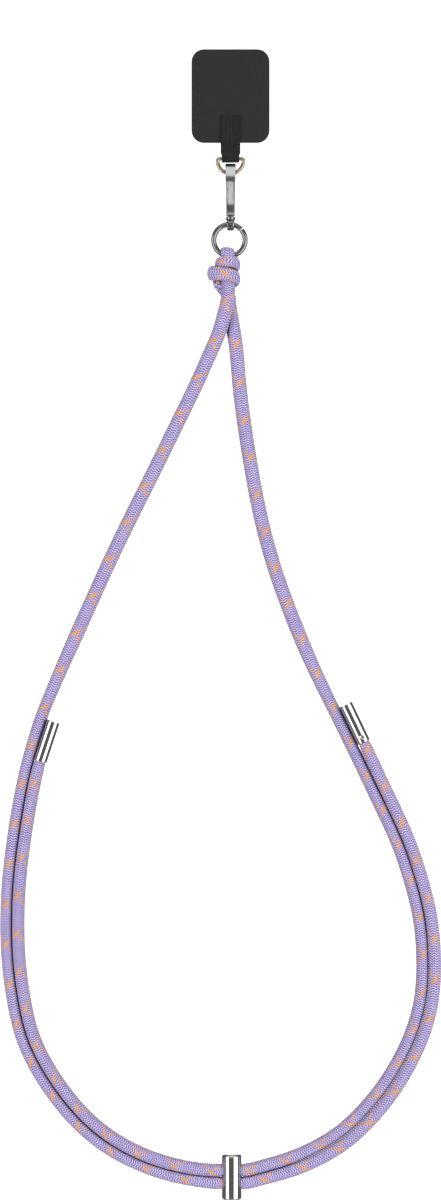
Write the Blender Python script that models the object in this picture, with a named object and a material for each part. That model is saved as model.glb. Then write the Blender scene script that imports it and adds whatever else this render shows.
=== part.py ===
"""Phone crossbody strap, hanging from its patch anchor.

Units are metres, +Z is up and the front faces -Y. The origin is where the webbing tab leaves the
edge that it hangs from. Down from there come the tab, the D-ring, the snap hook with its sprung
gate and turning eye, the cord ring, the knot, the two legs of the cord and the slider.
Run with: blender --background --python part.py
"""
import math

import bmesh
import bpy
import numpy as np
from mathutils import Vector

# Clearance that neighbouring pieces keep
GAP = 0.0003

# Patch and webbing tab
PATCH_WIDTH = 0.038
PATCH_HEIGHT = 0.048
PATCH_THICKNESS = 0.0008
PATCH_CORNER = 0.006
PATCH_RISE = 0.0025
TAB_WIDTH = 0.0096
TAB_FOLD_WIDTH = 0.0085
TAB_OVERLAP = 0.013
TAB_PLY = 0.0007
TAB_CORNER = 0.0012

# D-ring: the bar lies in the tab's fold, the bow hangs below it
BAR_DROP = 0.0052
D_WIRE = 0.0019
D_BOW_RADIUS = 0.0064
D_BAR_ABOVE_BOW_CENTRE = 0.0008
D_CORNER = 0.0014

# Snap hook, seen from the side: spine in front, nose and gate behind
HOOK_LENGTH = 0.0258
HOOK_DEPTH = 0.0124
HOOK_CROWN = 0.0029
HOOK_CROWN_RISE = 0.0101
THROAT_RISE = 0.0056
HOOK_TOP_WIDTH = 0.0051
HOOK_BASE_WIDTH = 0.0043
HOOK_BASE = 0.0032
HOOK_EDGE = 0.0004
NOSE_THICKNESS = 0.0023
NOSE_REACH = 0.0103
SPINE_THICKNESS = 0.0021
SPINE_LEAN = 0.0009

# Gate, its pivot and its pin
PIVOT_BACK = 0.0042
PIVOT_ABOVE_FLOOR = 0.0003
EAR_RADIUS = 0.0019
KNUCKLE_RADIUS = 0.0014
KNUCKLE_WIDTH = 0.0017
PIN_DIAMETER = 0.0011
GATE_WIDTH = 0.0042
GATE_THICKNESS = 0.0014
GATE_TUCK = 0.0012
THUMB_REACH = 0.0028

# Turning eye
POST_DIAMETER = 0.0021
HEAD_DIAMETER = 0.0033
HEAD_THICKNESS = 0.0009
COLLAR_DIAMETER = 0.0046
COLLAR_THICKNESS = 0.0013
EYE_WIDTH = 0.0034
EYE_SHOULDER_WIDTH = 0.0042
EYE_BAR = 0.0011

# Cord ring, a split ring of round wire
RING_DIAMETER = 0.0179
RING_WIRE = 0.0026
RING_SHIFT = -0.0005
RING_SPLIT_ANGLE = 49.0

# Cord: its own size, its size where two lie side by side, and its size in a hole
CORD_DIAMETER = 0.0070
CORD_PAIRED = 0.0057
CORD_PINCHED = 0.0048
PAIR_SPACING = 0.0060
PAIR_DEPTH = 0.0009

# Cord ends
CAP_DIAMETER = 0.0066
CAP_LENGTH = 0.0204
CAP_END_WALL = 0.0011
CAP_EDGE = 0.0005
DIMPLE_DIAMETER = 0.0023
DIMPLE_DEPTH = 0.0004
DIMPLE_FROM_MOUTH = 0.0029

# Slider
SLIDER_DIAMETER = 0.0098
SLIDER_LENGTH = 0.0224
SLIDER_EDGE = 0.0016
SLIDER_HOLE_SPACING = 0.0062
SLIDER_HOLE_CHAMFER = 0.0004

# Where the strap hangs across the ring's lowest wire
STRAP_X = -0.0009

# The cord's route, chosen by eye, in millimetres from the middle of the cord ring's lowest wire.
# Columns: across (+X), back (+Y), up (+Z).
LEFT_LEG = [
    (-0.2, -3.7, -19.2), (-0.4, -3.7, -20.9), (-2.5, -3.1, -30.1), (-4.5, -1.4, -36.9),
    (-8.2, -0.3, -45.7), (-14.7, 0.0, -60.3), (-24.1, 0.0, -79.8), (-33.6, 0.0, -99.3),
    (-43.3, 0.0, -118.8), (-52.9, 0.0, -138.2), (-62.0, 0.0, -157.7), (-70.8, 0.0, -177.2),
    (-79.5, 0.1, -196.7), (-87.9, 0.3, -216.2), (-91.7, 0.6, -225.9), (-94.9, 0.8, -235.7),
]
RIGHT_LEG = [
    (0.1, 3.7, -19.2), (0.2, 3.7, -20.9), (1.4, 3.1, -30.1), (2.5, 1.4, -36.9),
    (3.7, 0.3, -45.7), (5.0, 0.0, -60.3), (7.3, 0.0, -79.8), (10.3, 0.0, -99.3),
    (13.8, 0.0, -118.8), (18.3, 0.0, -138.2), (24.2, 0.0, -157.7), (31.4, 0.2, -177.2),
    (39.6, 0.6, -196.7), (48.8, 1.2, -216.2), (54.1, 1.5, -226.9),
]
# The middle line of the doubled run, from the left end cap round the slider to the right one.
# Columns: across (+X), up (+Z).
RUN = [
    (-94.7, -246.1), (-98.9, -264.8), (-102.1, -284.3), (-104.4, -303.8), (-105.3, -323.3),
    (-104.7, -342.8), (-102.2, -362.2), (-97.3, -381.7), (-90.2, -396.3), (-80.2, -410.9),
    (-67.5, -424.5), (-52.9, -434.9), (-38.3, -441.7), (-23.7, -446.0), (-13.0, -447.8),
    (-4.5, -448.4), (1.5, -448.4), (7.5, -448.4), (15.5, -446.7), (27.9, -443.2),
    (42.5, -437.2), (57.1, -428.0),
    (66.9, -418.8), (76.6, -407.1), (86.2, -391.5), (92.6, -376.9), (96.3, -362.2),
    (97.4, -342.8), (95.8, -323.3), (91.2, -303.8), (84.5, -284.3), (75.6, -264.8),
    (68.7, -250.2), (62.3, -236.9),
]
SLIDER_AT = 16
# Each end cap's mouth and the direction that its closed end points in.
# Columns: across (+X), back (+Y), up (+Z).
LEFT_CAP_MOUTH = (-91.6, -1.2, -245.9)
LEFT_CAP_WAY = (0.315, -0.03, 0.949)
RIGHT_CAP_MOUTH = (65.7, -1.7, -236.7)
RIGHT_CAP_WAY = (-0.432, -0.02, 0.902)

# The knot's own route: up from the left leg inside the wraps, over the cord ring's wire, down
# behind it, twice round and out as the right leg. Columns: across, back, up, half width of the
# flattened cord, half thickness.
KNOT = [
    (-0.4, -3.7, -20.9, 3.4, 3.35), (-0.2, -3.6, -17.0, 3.3, 3.2), (-0.4, -2.2, -12.0, 3.1, 2.4),
    (-0.5, -0.9, -7.0, 3.0, 2.0), (-0.5, -1.7, -3.5, 3.1, 1.8), (-0.5, -3.0, -0.4, 3.3, 1.35),
    (-0.5, -2.1, 2.0, 3.35, 1.25), (-0.5, 0.0, 2.9, 3.35, 1.25), (-0.5, 2.1, 2.0, 3.35, 1.25),
    (-0.6, 3.1, -0.4, 3.3, 1.5), (-1.5, 4.3, -2.3, 3.2, 1.7), (-4.1, 2.9, -3.2, 2.9, 1.7),
    (-4.9, -0.2, -4.0, 2.7, 1.8), (-3.5, -3.2, -3.7, 2.8, 1.75), (-0.3, -4.6, -3.3, 3.0, 1.8),
    (2.7, -3.2, -3.6, 3.0, 1.75), (4.0, 0.0, -4.4, 3.0, 1.7), (2.8, 3.2, -5.4, 3.0, 1.7),
    (-0.5, 4.5, -6.3, 3.0, 1.75), (-4.6, 3.9, -7.2, 3.1, 1.8), (-7.8, 1.4, -8.2, 3.4, 2.0),
    (-8.4, -1.3, -8.8, 3.5, 2.0), (-5.6, -4.1, -9.2, 3.3, 1.9), (-1.0, -5.2, -9.7, 3.2, 1.9),
    (2.6, -4.0, -10.5, 3.1, 1.8), (3.9, -0.6, -11.3, 3.1, 1.8), (2.8, 2.9, -12.1, 3.1, 1.8),
    (-0.4, 4.6, -12.5, 3.1, 1.8), (-3.6, 3.6, -12.7, 3.1, 2.0), (-4.9, 1.0, -13.3, 3.0, 2.4),
    (-3.5, 0.5, -15.1, 3.0, 2.6), (-1.3, 2.2, -17.3, 3.2, 2.9), (0.2, 3.7, -20.9, 3.4, 3.35),
]
KNOT_AXIS_X = -0.0008
KNOT_FOOT = 0.0186
KNOT_STEP = 0.0019
KNOT_SIDES = 10
MILLI = 0.001

# Places that follow from the sizes above
BAR_Z = -BAR_DROP
BOW_CENTRE_Z = BAR_Z - D_BAR_ABOVE_BOW_CENTRE
BOW_LOW_Z = BOW_CENTRE_Z - D_BOW_RADIUS
BOW_INNER = D_BOW_RADIUS - D_WIRE / 2
BOW_RISE = BOW_INNER - math.sqrt(BOW_INNER ** 2 - HOOK_TOP_WIDTH ** 2 / 4)
HOOK_TOP_Z = BOW_LOW_Z + D_WIRE / 2 + BOW_RISE + GAP + HOOK_CROWN
HOOK_BASE_Z = HOOK_TOP_Z - HOOK_LENGTH
HOOK_FLOOR_Z = HOOK_BASE_Z + HOOK_BASE
PIVOT = Vector((0.0, PIVOT_BACK, HOOK_FLOOR_Z + PIVOT_ABOVE_FLOOR))
RING_RADIUS = (RING_DIAMETER - RING_WIRE) / 2
RING_FALL = RING_RADIUS - math.sqrt(RING_RADIUS ** 2 - (EYE_WIDTH / 2 - RING_SHIFT) ** 2)
EYE_HOLE_HEIGHT = RING_WIRE * 1.04 + RING_FALL + 2 * GAP
EYE_HOLE_DEPTH = RING_WIRE + 3.5 * GAP
COLLAR_TOP_Z = HOOK_BASE_Z - GAP
EYE_TOP_Z = COLLAR_TOP_Z - COLLAR_THICKNESS
EYE_HOLE_Z = EYE_TOP_Z - EYE_BAR / 2 - EYE_HOLE_HEIGHT / 2
RING_TOP_Z = EYE_HOLE_Z + EYE_HOLE_HEIGHT / 2 - GAP
RING_CENTRE = Vector((RING_SHIFT, 0.0, RING_TOP_Z - RING_DIAMETER / 2))
STRAP_TOP = Vector((STRAP_X, 0.0, RING_CENTRE.z - RING_RADIUS))
HOLE_DIAMETER = CORD_PINCHED + 2 * GAP


def clear_scene():
    for old in list(bpy.data.objects):
        bpy.data.objects.remove(old, do_unlink=True)


def make_material(name, colour, roughness, metallic):
    material = bpy.data.materials.new(name)
    material.use_nodes = True
    shader = material.node_tree.nodes["Principled BSDF"]
    shader.inputs["Base Color"].default_value = (*colour, 1.0)
    shader.inputs["Roughness"].default_value = roughness
    shader.inputs["Metallic"].default_value = metallic
    return material


def add_object(name, data, material=None):
    piece = bpy.data.objects.new(name, data)
    bpy.context.scene.collection.objects.link(piece)
    if material is not None:
        data.materials.append(material)
    return piece


def finish_bmesh(bm, name, material, smooth_angle=35.0):
    """Turn a bmesh into a named object with outward faces and sharp edges kept."""
    bmesh.ops.recalc_face_normals(bm, faces=bm.faces)
    mesh = bpy.data.meshes.new(name)
    bm.to_mesh(mesh)
    bm.free()
    mesh.shade_smooth()
    mesh.set_sharp_from_angle(angle=math.radians(smooth_angle))
    return add_object(name, mesh, material)


def as_cutter(piece):
    piece.hide_render = True
    piece.display_type = "WIRE"
    return piece


def boolean(target, tool, operation):
    modifier = target.modifiers.new(operation.title() + " " + tool.name, "BOOLEAN")
    modifier.operation = operation
    modifier.solver = "EXACT"
    modifier.object = as_cutter(tool)


def add_bevel(target, width, segments, angle=35.0):
    modifier = target.modifiers.new("Rounded edges", "BEVEL")
    modifier.width = width
    modifier.segments = segments
    modifier.limit_method = "ANGLE"
    modifier.angle_limit = math.radians(angle)


def arc(centre, radius, start, stop, count):
    """Points on an arc in a plane, as (a, b) pairs; angles in degrees from the first axis."""
    angles = np.radians(np.linspace(start, stop, count))
    return [(centre[0] + radius * math.cos(a), centre[1] + radius * math.sin(a)) for a in angles]


def smooth_curve(points):
    """Natural cubic spline through points, by distance along their chords.

    Returns the distances of the points and a function that gives the place at any distance.
    """
    points = np.asarray(points, float)
    knots = np.concatenate([[0.0], np.cumsum(np.linalg.norm(np.diff(points, axis=0), axis=1))])
    steps = np.diff(knots)
    count = len(points)
    matrix = np.eye(count)
    right = np.zeros_like(points)
    for i in range(1, count - 1):
        matrix[i, i - 1:i + 2] = steps[i - 1], 2 * (steps[i - 1] + steps[i]), steps[i]
        right[i] = 6 * ((points[i + 1] - points[i]) / steps[i] - (points[i] - points[i - 1]) / steps[i - 1])
    bend = np.linalg.solve(matrix, right)

    def place(distance):
        distance = np.atleast_1d(distance)
        i = np.clip(np.searchsorted(knots, distance, side="right") - 1, 0, count - 2)
        before = ((knots[i + 1] - distance) / steps[i])[:, None]
        after = 1 - before
        square = (steps[i] ** 2)[:, None] / 6
        return (before * points[i] + after * points[i + 1]
                + square * ((before ** 3 - before) * bend[i] + (after ** 3 - after) * bend[i + 1]))

    return knots, place


def extrude_outline(bm, outline, half_width):
    """Extrude an outline of (y, z) points both ways along X; half_width is a function of z."""
    left = [bm.verts.new((-half_width(z), y, z)) for y, z in outline]
    right = [bm.verts.new((half_width(z), y, z)) for y, z in outline]
    bm.faces.new(left)
    bm.faces.new(right[::-1])
    for i, j in zip(range(len(outline)), [*range(1, len(outline)), 0]):
        bm.faces.new((left[i], left[j], right[j], right[i]))


def add_cylinder(name, radius, length, centre, axis, sides, material=None):
    """A closed cylinder of a given length about a centre, along X, Y or Z."""
    bm = bmesh.new()
    bmesh.ops.create_cone(bm, cap_ends=True, segments=sides, radius1=radius, radius2=radius,
                          depth=length)
    turn = {"X": Vector((1, 0, 0)), "Y": Vector((0, 1, 0)), "Z": Vector((0, 0, 1))}[axis]
    bm.transform(turn.to_track_quat("Z", "Y").to_matrix().to_4x4())
    bmesh.ops.translate(bm, verts=bm.verts, vec=centre)
    return finish_bmesh(bm, name, material)


def add_box(name, low, high):
    bm = bmesh.new()
    bmesh.ops.create_cube(bm, size=1.0)
    for vertex in bm.verts:
        vertex.co = [low[k] if vertex.co[k] < 0 else high[k] for k in range(3)]
    return finish_bmesh(bm, name, None)


def add_turned(name, profile, centre, way, sides, material):
    """Turn a profile of (radius, height) points about an axis through centre along way."""
    bm = bmesh.new()
    rows = []
    for radius, height in profile:
        ring = bmesh.ops.create_circle(bm, segments=sides, radius=radius)["verts"]
        bmesh.ops.translate(bm, verts=ring, vec=(0.0, 0.0, height))
        rows.append(ring)
    for low, high in zip(rows, rows[1:]):
        for i, j in zip(range(sides), [*range(1, sides), 0]):
            bm.faces.new((low[i], low[j], high[j], high[i]))
    bm.faces.new(rows[0])
    bm.faces.new(rows[-1])
    bm.transform(Vector(way).to_track_quat("Z", "Y").to_matrix().to_4x4())
    bmesh.ops.translate(bm, verts=bm.verts, vec=centre)
    return finish_bmesh(bm, name, material)


def add_torus(name, centre, major, minor, around, sides):
    """A closed mesh ring in the XZ plane."""
    bm = bmesh.new()
    rows = []
    for turn in np.linspace(0, 2 * math.pi, around, endpoint=False):
        out = Vector((math.cos(turn), 0.0, math.sin(turn)))
        rows.append([bm.verts.new(centre + out * (major + minor * math.cos(a)) + Vector((0, minor * math.sin(a), 0)))
                     for a in np.linspace(0, 2 * math.pi, sides, endpoint=False)])
    for low, high in zip(rows, rows[1:] + rows[:1]):
        for i, j in zip(range(sides), [*range(1, sides), 0]):
            bm.faces.new((low[i], low[j], high[j], high[i]))
    return finish_bmesh(bm, name, None)


def add_tube(name, places, radii, material, resolution, cyclic=False):
    """A round tube along a polyline: a curve with a bevel and, if it is open, filled caps."""
    thickest = max(radii)
    curve = bpy.data.curves.new(name, "CURVE")
    curve.dimensions = "3D"
    curve.bevel_depth = thickest
    curve.bevel_resolution = resolution
    curve.use_fill_caps = not cyclic
    spline = curve.splines.new("POLY")
    spline.points.add(len(places) - 1)
    for point, place, radius in zip(spline.points, places, radii):
        point.co = (*place, 1.0)
        point.radius = radius / thickest
    spline.use_cyclic_u = cyclic
    return add_object(name, curve, material)


def build_patch(material):
    """Thin patch with rounded corners, standing above the edge that the tab leaves."""
    inner_x = PATCH_WIDTH / 2 - PATCH_CORNER
    low = PATCH_RISE + PATCH_CORNER
    high = PATCH_HEIGHT - PATCH_CORNER
    outline = (arc((inner_x, low), PATCH_CORNER, -90, 0, 7) + arc((inner_x, high), PATCH_CORNER, 0, 90, 7)
               + arc((-inner_x, high), PATCH_CORNER, 90, 180, 7)
               + arc((-inner_x, low), PATCH_CORNER, 180, 270, 7))
    bm = bmesh.new()
    front = [bm.verts.new((x, -PATCH_THICKNESS / 2, z)) for x, z in outline]
    face = bm.faces.new(front)
    back = bmesh.ops.extrude_face_region(bm, geom=[face])["geom"]
    moved = [item for item in back if isinstance(item, bmesh.types.BMVert)]
    bmesh.ops.translate(bm, verts=moved, vec=(0.0, PATCH_THICKNESS, 0.0))
    return finish_bmesh(bm, "anchor_patch", material)


def build_tab(material):
    """Webbing folded round the D-ring's bar, its two plies sewn to both faces of the patch."""
    bore = D_WIRE / 2 + GAP
    fold = bore + TAB_PLY
    ply_top = PATCH_THICKNESS / 2 + GAP + TAB_PLY
    waist = TAB_PLY + GAP / 2
    top = PATCH_RISE + TAB_OVERLAP
    neck = BAR_Z + fold * 0.9
    side = [(ply_top, top), (ply_top, PATCH_RISE - GAP), (waist, (PATCH_RISE + neck) / 2),
            (waist, neck + TAB_PLY)]
    round_bar = arc((0.0, BAR_Z), fold, 55, -90, 9)
    right = side + round_bar
    outline = right + [(-y, z) for y, z in right[-2::-1]]

    def half_width(z):
        share = min(max((z - neck) / TAB_CORNER, 0.0), 1.0)
        return (TAB_FOLD_WIDTH + (TAB_WIDTH - TAB_FOLD_WIDTH) * share) / 2

    bm = bmesh.new()
    extrude_outline(bm, outline, half_width)
    tab = finish_bmesh(bm, "anchor_tab", material)
    boolean(tab, add_cylinder("cut_tab_bore", bore, 2 * TAB_WIDTH, (0, 0, BAR_Z), "X", 20), "DIFFERENCE")
    slot = PATCH_THICKNESS / 2 + GAP
    boolean(tab, add_box("cut_tab_slot", (-TAB_WIDTH, -slot, PATCH_RISE - GAP),
                         (TAB_WIDTH, slot, top + TAB_WIDTH)), "DIFFERENCE")
    return tab


def build_d_ring(material):
    """A bow of round wire closed by a straight bar, with rounded corners."""
    reach = math.sqrt(D_BOW_RADIUS ** 2 - D_BAR_ABOVE_BOW_CENTRE ** 2)
    corner_x = reach - D_CORNER
    corner_z = BAR_Z - D_CORNER
    start = math.degrees(math.atan2(corner_z - BOW_CENTRE_Z, D_BOW_RADIUS))
    outline = (arc((corner_x, corner_z), D_CORNER, 90, 15, 5)
               + arc((0.0, BOW_CENTRE_Z), D_BOW_RADIUS, start - 8, -172 - start, 26)
               + arc((-corner_x, corner_z), D_CORNER, 165, 90, 5))
    places = [(x, 0.0, z) for x, z in outline]
    return add_tube("d_ring", places, [D_WIRE / 2] * len(places), material, 3, cyclic=True)


def hook_half_width(z):
    share = min(max((HOOK_TOP_Z - z) / HOOK_LENGTH, 0.0), 1.0)
    return (HOOK_TOP_WIDTH + (HOOK_BASE_WIDTH - HOOK_TOP_WIDTH) * share) / 2


def build_hook(material):
    """Cast hook body: nose, crown, spine, base and the two ears that carry the gate."""
    half = HOOK_DEPTH / 2
    bend_z = HOOK_TOP_Z - HOOK_CROWN_RISE
    nose_z = HOOK_TOP_Z - NOSE_REACH
    throat_back = half - NOSE_THICKNESS
    throat_front = half - SPINE_THICKNESS
    throat_half = (throat_back + throat_front) / 2
    throat_middle = (throat_back - throat_front) / 2
    throat_z = HOOK_TOP_Z - HOOK_CROWN - THROAT_RISE
    outer = [(half * math.cos(a), bend_z + HOOK_CROWN_RISE * math.sin(a))
             for a in np.radians(np.linspace(0, 180, 21))]
    inner = [(throat_middle + throat_half * math.cos(a), throat_z + THROAT_RISE * math.sin(a))
             for a in np.radians(np.linspace(180, 0, 15))]
    spine_out = [(-half + SPINE_LEAN * 0.6, HOOK_FLOOR_Z + HOOK_BASE * 0.6),
                 (-half + SPINE_LEAN, HOOK_FLOOR_Z - HOOK_BASE * 0.1),
                 (-half * 0.76, HOOK_BASE_Z + HOOK_BASE * 0.38), (-half * 0.62, HOOK_BASE_Z)]
    spine_in = [(-throat_front + HOOK_DEPTH * 0.10, HOOK_FLOOR_Z),
                (-throat_front + HOOK_DEPTH * 0.04, HOOK_FLOOR_Z + HOOK_BASE * 0.6),
                (-throat_front, HOOK_TOP_Z - HOOK_LENGTH * 0.55)]
    ear = arc((PIVOT.y, PIVOT.z), EAR_RADIUS, -20, 170, 12)
    front = [(PIVOT.y - EAR_RADIUS * 0.35, HOOK_BASE_Z)]
    floor = [(PIVOT.y - EAR_RADIUS * 1.1, HOOK_FLOOR_Z)]
    outline = [(half, nose_z)] + outer + spine_out + front + ear + floor + spine_in + inner \
        + [(throat_back, nose_z)]

    bm = bmesh.new()
    extrude_outline(bm, outline, hook_half_width)
    hook = finish_bmesh(bm, "clasp_body", material)
    add_bevel(hook, HOOK_EDGE, 2, angle=50.0)
    slot = KNUCKLE_WIDTH / 2 + GAP
    boolean(hook, add_box("cut_ear_slot", (-slot, PIVOT.y - EAR_RADIUS * 1.05, PIVOT.z - EAR_RADIUS),
                          (slot, HOOK_DEPTH, HOOK_FLOOR_Z + HOOK_BASE)), "DIFFERENCE")
    boolean(hook, add_cylinder("cut_pin_hole", PIN_DIAMETER / 2 + GAP / 2, 2 * HOOK_TOP_WIDTH,
                               PIVOT, "X", 12), "DIFFERENCE")
    boolean(hook, add_cylinder("cut_post_hole", POST_DIAMETER / 2 + GAP, 2 * HOOK_BASE,
                               (0.0, 0.0, HOOK_BASE_Z + HOOK_BASE / 2), "Z", 16), "DIFFERENCE")
    return hook


def build_gate(material):
    """Lever that closes the hook: its tip tucks in behind the nose, a thumb tab stands out."""
    nose_z = HOOK_TOP_Z - NOSE_REACH
    tip_z = nose_z + GATE_TUCK
    tip_out = HOOK_DEPTH / 2 - NOSE_THICKNESS - GAP
    below_nose = nose_z - GAP
    face = PIVOT.y + KNUCKLE_RADIUS * 0.45
    clear = EAR_RADIUS + GAP
    lever = PIVOT.z + clear * 1.12 - below_nose
    thumb_z = PIVOT.z + clear * 1.12 - lever * 0.45
    inner = face - GATE_THICKNESS
    outline = [
        (tip_out - GATE_THICKNESS * 0.8, tip_z), (tip_out, tip_z), (tip_out, below_nose),
        (face, below_nose - GATE_THICKNESS * 0.6), (face, thumb_z + THUMB_REACH * 0.5),
        (face + THUMB_REACH * 0.45, thumb_z - THUMB_REACH * 0.1),
        (face + THUMB_REACH * 0.95, thumb_z - THUMB_REACH * 0.35),
        (face + THUMB_REACH, thumb_z - THUMB_REACH * 0.62),
        (face + THUMB_REACH * 0.72, thumb_z - THUMB_REACH * 0.78),
        (face, thumb_z - THUMB_REACH * 0.72),
        (face, PIVOT.z + clear * 1.12), (inner, PIVOT.z + clear * 1.12),
        (inner, thumb_z), (tip_out - GATE_THICKNESS * 1.1, below_nose),
    ]
    bm = bmesh.new()
    extrude_outline(bm, outline, lambda z: GATE_WIDTH / 2)
    gate = finish_bmesh(bm, "clasp_gate", material)
    add_bevel(gate, GATE_THICKNESS * 0.2, 2, angle=50.0)
    knuckle = [(face, PIVOT.z + clear * 1.5), (face, PIVOT.z)] \
        + arc((PIVOT.y, PIVOT.z), KNUCKLE_RADIUS, -45, -190, 10) \
        + [(inner, PIVOT.z + KNUCKLE_RADIUS), (inner, PIVOT.z + clear * 1.5)]
    bm = bmesh.new()
    extrude_outline(bm, knuckle, lambda z: KNUCKLE_WIDTH / 2)
    boolean(gate, finish_bmesh(bm, "join_knuckle", None), "UNION")
    boolean(gate, add_cylinder("cut_gate_bore", PIN_DIAMETER / 2 + GAP / 2, 2 * KNUCKLE_WIDTH,
                               PIVOT, "X", 12), "DIFFERENCE")
    return gate


def build_pin(material):
    length = 2 * hook_half_width(PIVOT.z) - 2 * HOOK_EDGE
    return add_cylinder("clasp_pin", PIN_DIAMETER / 2, length, PIVOT, "X", 12, material)


def build_swivel(material):
    """Turned post with its head inside the hook and its collar below, and the eye under it."""
    post = POST_DIAMETER / 2
    head = HEAD_DIAMETER / 2
    collar = COLLAR_DIAMETER / 2
    floor = HOOK_FLOOR_Z + GAP
    profile = [
        (collar * 0.80, EYE_TOP_Z - EYE_BAR * 0.3), (collar, EYE_TOP_Z),
        (collar, COLLAR_TOP_Z - COLLAR_THICKNESS * 0.25), (collar * 0.88, COLLAR_TOP_Z),
        (post, COLLAR_TOP_Z), (post, floor), (head, floor),
        (head, floor + HEAD_THICKNESS * 0.5), (head * 0.7, floor + HEAD_THICKNESS),
    ]
    swivel = add_turned("clasp_swivel", profile, (0, 0, 0), (0, 0, 1), 20, material)

    out_y = EYE_HOLE_DEPTH / 2 + EYE_BAR
    out_low = EYE_HOLE_Z - EYE_HOLE_HEIGHT / 2 - EYE_BAR
    bend = out_y * 0.9
    below = [(out_y * math.cos(a), out_low + bend + bend * math.sin(a))
             for a in np.radians(np.linspace(0, -180, 13))]
    shoulder = collar * 0.7
    above = [(-out_y * 0.92, EYE_HOLE_Z + EYE_HOLE_HEIGHT * 0.35), (-shoulder, EYE_TOP_Z - EYE_BAR * 0.1),
             (shoulder, EYE_TOP_Z - EYE_BAR * 0.1), (out_y * 0.92, EYE_HOLE_Z + EYE_HOLE_HEIGHT * 0.35)]

    def half_width(z):
        share = min(max((z - EYE_HOLE_Z) / (EYE_TOP_Z - EYE_HOLE_Z), 0.0), 1.0)
        return (EYE_WIDTH + (EYE_SHOULDER_WIDTH - EYE_WIDTH) * share) / 2

    bm = bmesh.new()
    extrude_outline(bm, below + above, half_width)
    eye = finish_bmesh(bm, "join_eye", None)
    add_bevel(eye, EYE_BAR * 0.25, 2, angle=50.0)
    hole_y = EYE_HOLE_DEPTH / 2
    hole_z = EYE_HOLE_HEIGHT / 2
    hole = [(hole_y * math.cos(a), EYE_HOLE_Z + hole_z * math.sin(a))
            for a in np.radians(np.arange(0, 360, 18))]
    bm = bmesh.new()
    extrude_outline(bm, hole, lambda z: EYE_SHOULDER_WIDTH)
    cutter = finish_bmesh(bm, "cut_eye_hole", None)
    boolean(swivel, eye, "UNION")
    boolean(swivel, cutter, "DIFFERENCE")
    return swivel


def ring_places(count, split_half_angle):
    start = 90.0 - RING_SPLIT_ANGLE - split_half_angle
    stop = start - 360.0 + 2 * split_half_angle
    return [(RING_CENTRE.x + a, 0.0, RING_CENTRE.z + b)
            for a, b in arc((0.0, 0.0), RING_RADIUS, start, stop, count)]


def build_ring(material):
    """Split ring of round wire; the cut is a hair wide."""
    split_half_angle = math.degrees(GAP / 2 / RING_RADIUS)
    places = ring_places(49, split_half_angle)
    return add_tube("cord_ring", places, [RING_WIRE / 2] * len(places), material, 3)


def strap_place(point):
    return STRAP_TOP + Vector(point) * MILLI


def build_knot(material):
    """The knot as one solid: the flattened cord swept along its route and fused with itself."""
    table = np.asarray(KNOT, float) * MILLI
    knots, place = smooth_curve(table[:, :3])
    distances = np.linspace(0.0, knots[-1], round(knots[-1] / KNOT_STEP) + 1)
    centres = place(distances)
    half_widths = np.interp(distances, knots, table[:, 3])
    half_depths = np.interp(distances, knots, table[:, 4])
    tangents = np.gradient(centres, axis=0)
    tangents /= np.linalg.norm(tangents, axis=1)[:, None]
    outward = centres - np.array([KNOT_AXIS_X, 0.0, 0.0])
    outward[:, 2] = np.maximum(outward[:, 2], 0.0)
    outward -= (outward * tangents).sum(axis=1)[:, None] * tangents
    outward /= np.linalg.norm(outward, axis=1)[:, None]
    across = np.cross(tangents, outward)

    bm = bmesh.new()
    rows = []
    for centre, wide, deep, side, out in zip(centres, half_widths, half_depths, across, outward):
        row = []
        for k in range(KNOT_SIDES):
            turn = 2 * math.pi * k / KNOT_SIDES
            offset = side * wide * math.cos(turn) + out * deep * math.sin(turn)
            row.append(bm.verts.new(STRAP_TOP + Vector(centre + offset)))
        rows.append(row)
    for low, high in zip(rows, rows[1:]):
        for i, j in zip(range(KNOT_SIDES), [*range(1, KNOT_SIDES), 0]):
            bm.faces.new((low[i], low[j], high[j], high[i]))
    bm.faces.new(rows[0])
    bm.faces.new(rows[-1])
    knot = finish_bmesh(bm, "cord_knot", material)

    core = bmesh.new()
    bmesh.ops.create_icosphere(core, subdivisions=2, radius=1.0)
    bmesh.ops.scale(core, verts=core.verts, vec=(0.0036, 0.0034, 0.0066))
    bmesh.ops.translate(core, verts=core.verts, vec=STRAP_TOP + Vector((KNOT_AXIS_X, 0.0, -0.0082)))
    fill = finish_bmesh(core, "join_knot_core", None)
    modifier = knot.modifiers.new("Fuse the wraps", "BOOLEAN")
    modifier.operation = "UNION"
    modifier.solver = "EXACT"
    modifier.use_self = True
    modifier.object = as_cutter(fill)
    boolean(knot, add_torus("cut_knot_wire", RING_CENTRE, RING_RADIUS, RING_WIRE / 2 + 1.4 * GAP, 36, 12),
            "DIFFERENCE")
    wide = 2 * RING_DIAMETER
    foot = STRAP_TOP.z - KNOT_FOOT
    boolean(knot, add_box("cut_knot_foot", (-wide, -wide, foot - wide), (wide, wide, foot)), "DIFFERENCE")
    return knot


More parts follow.
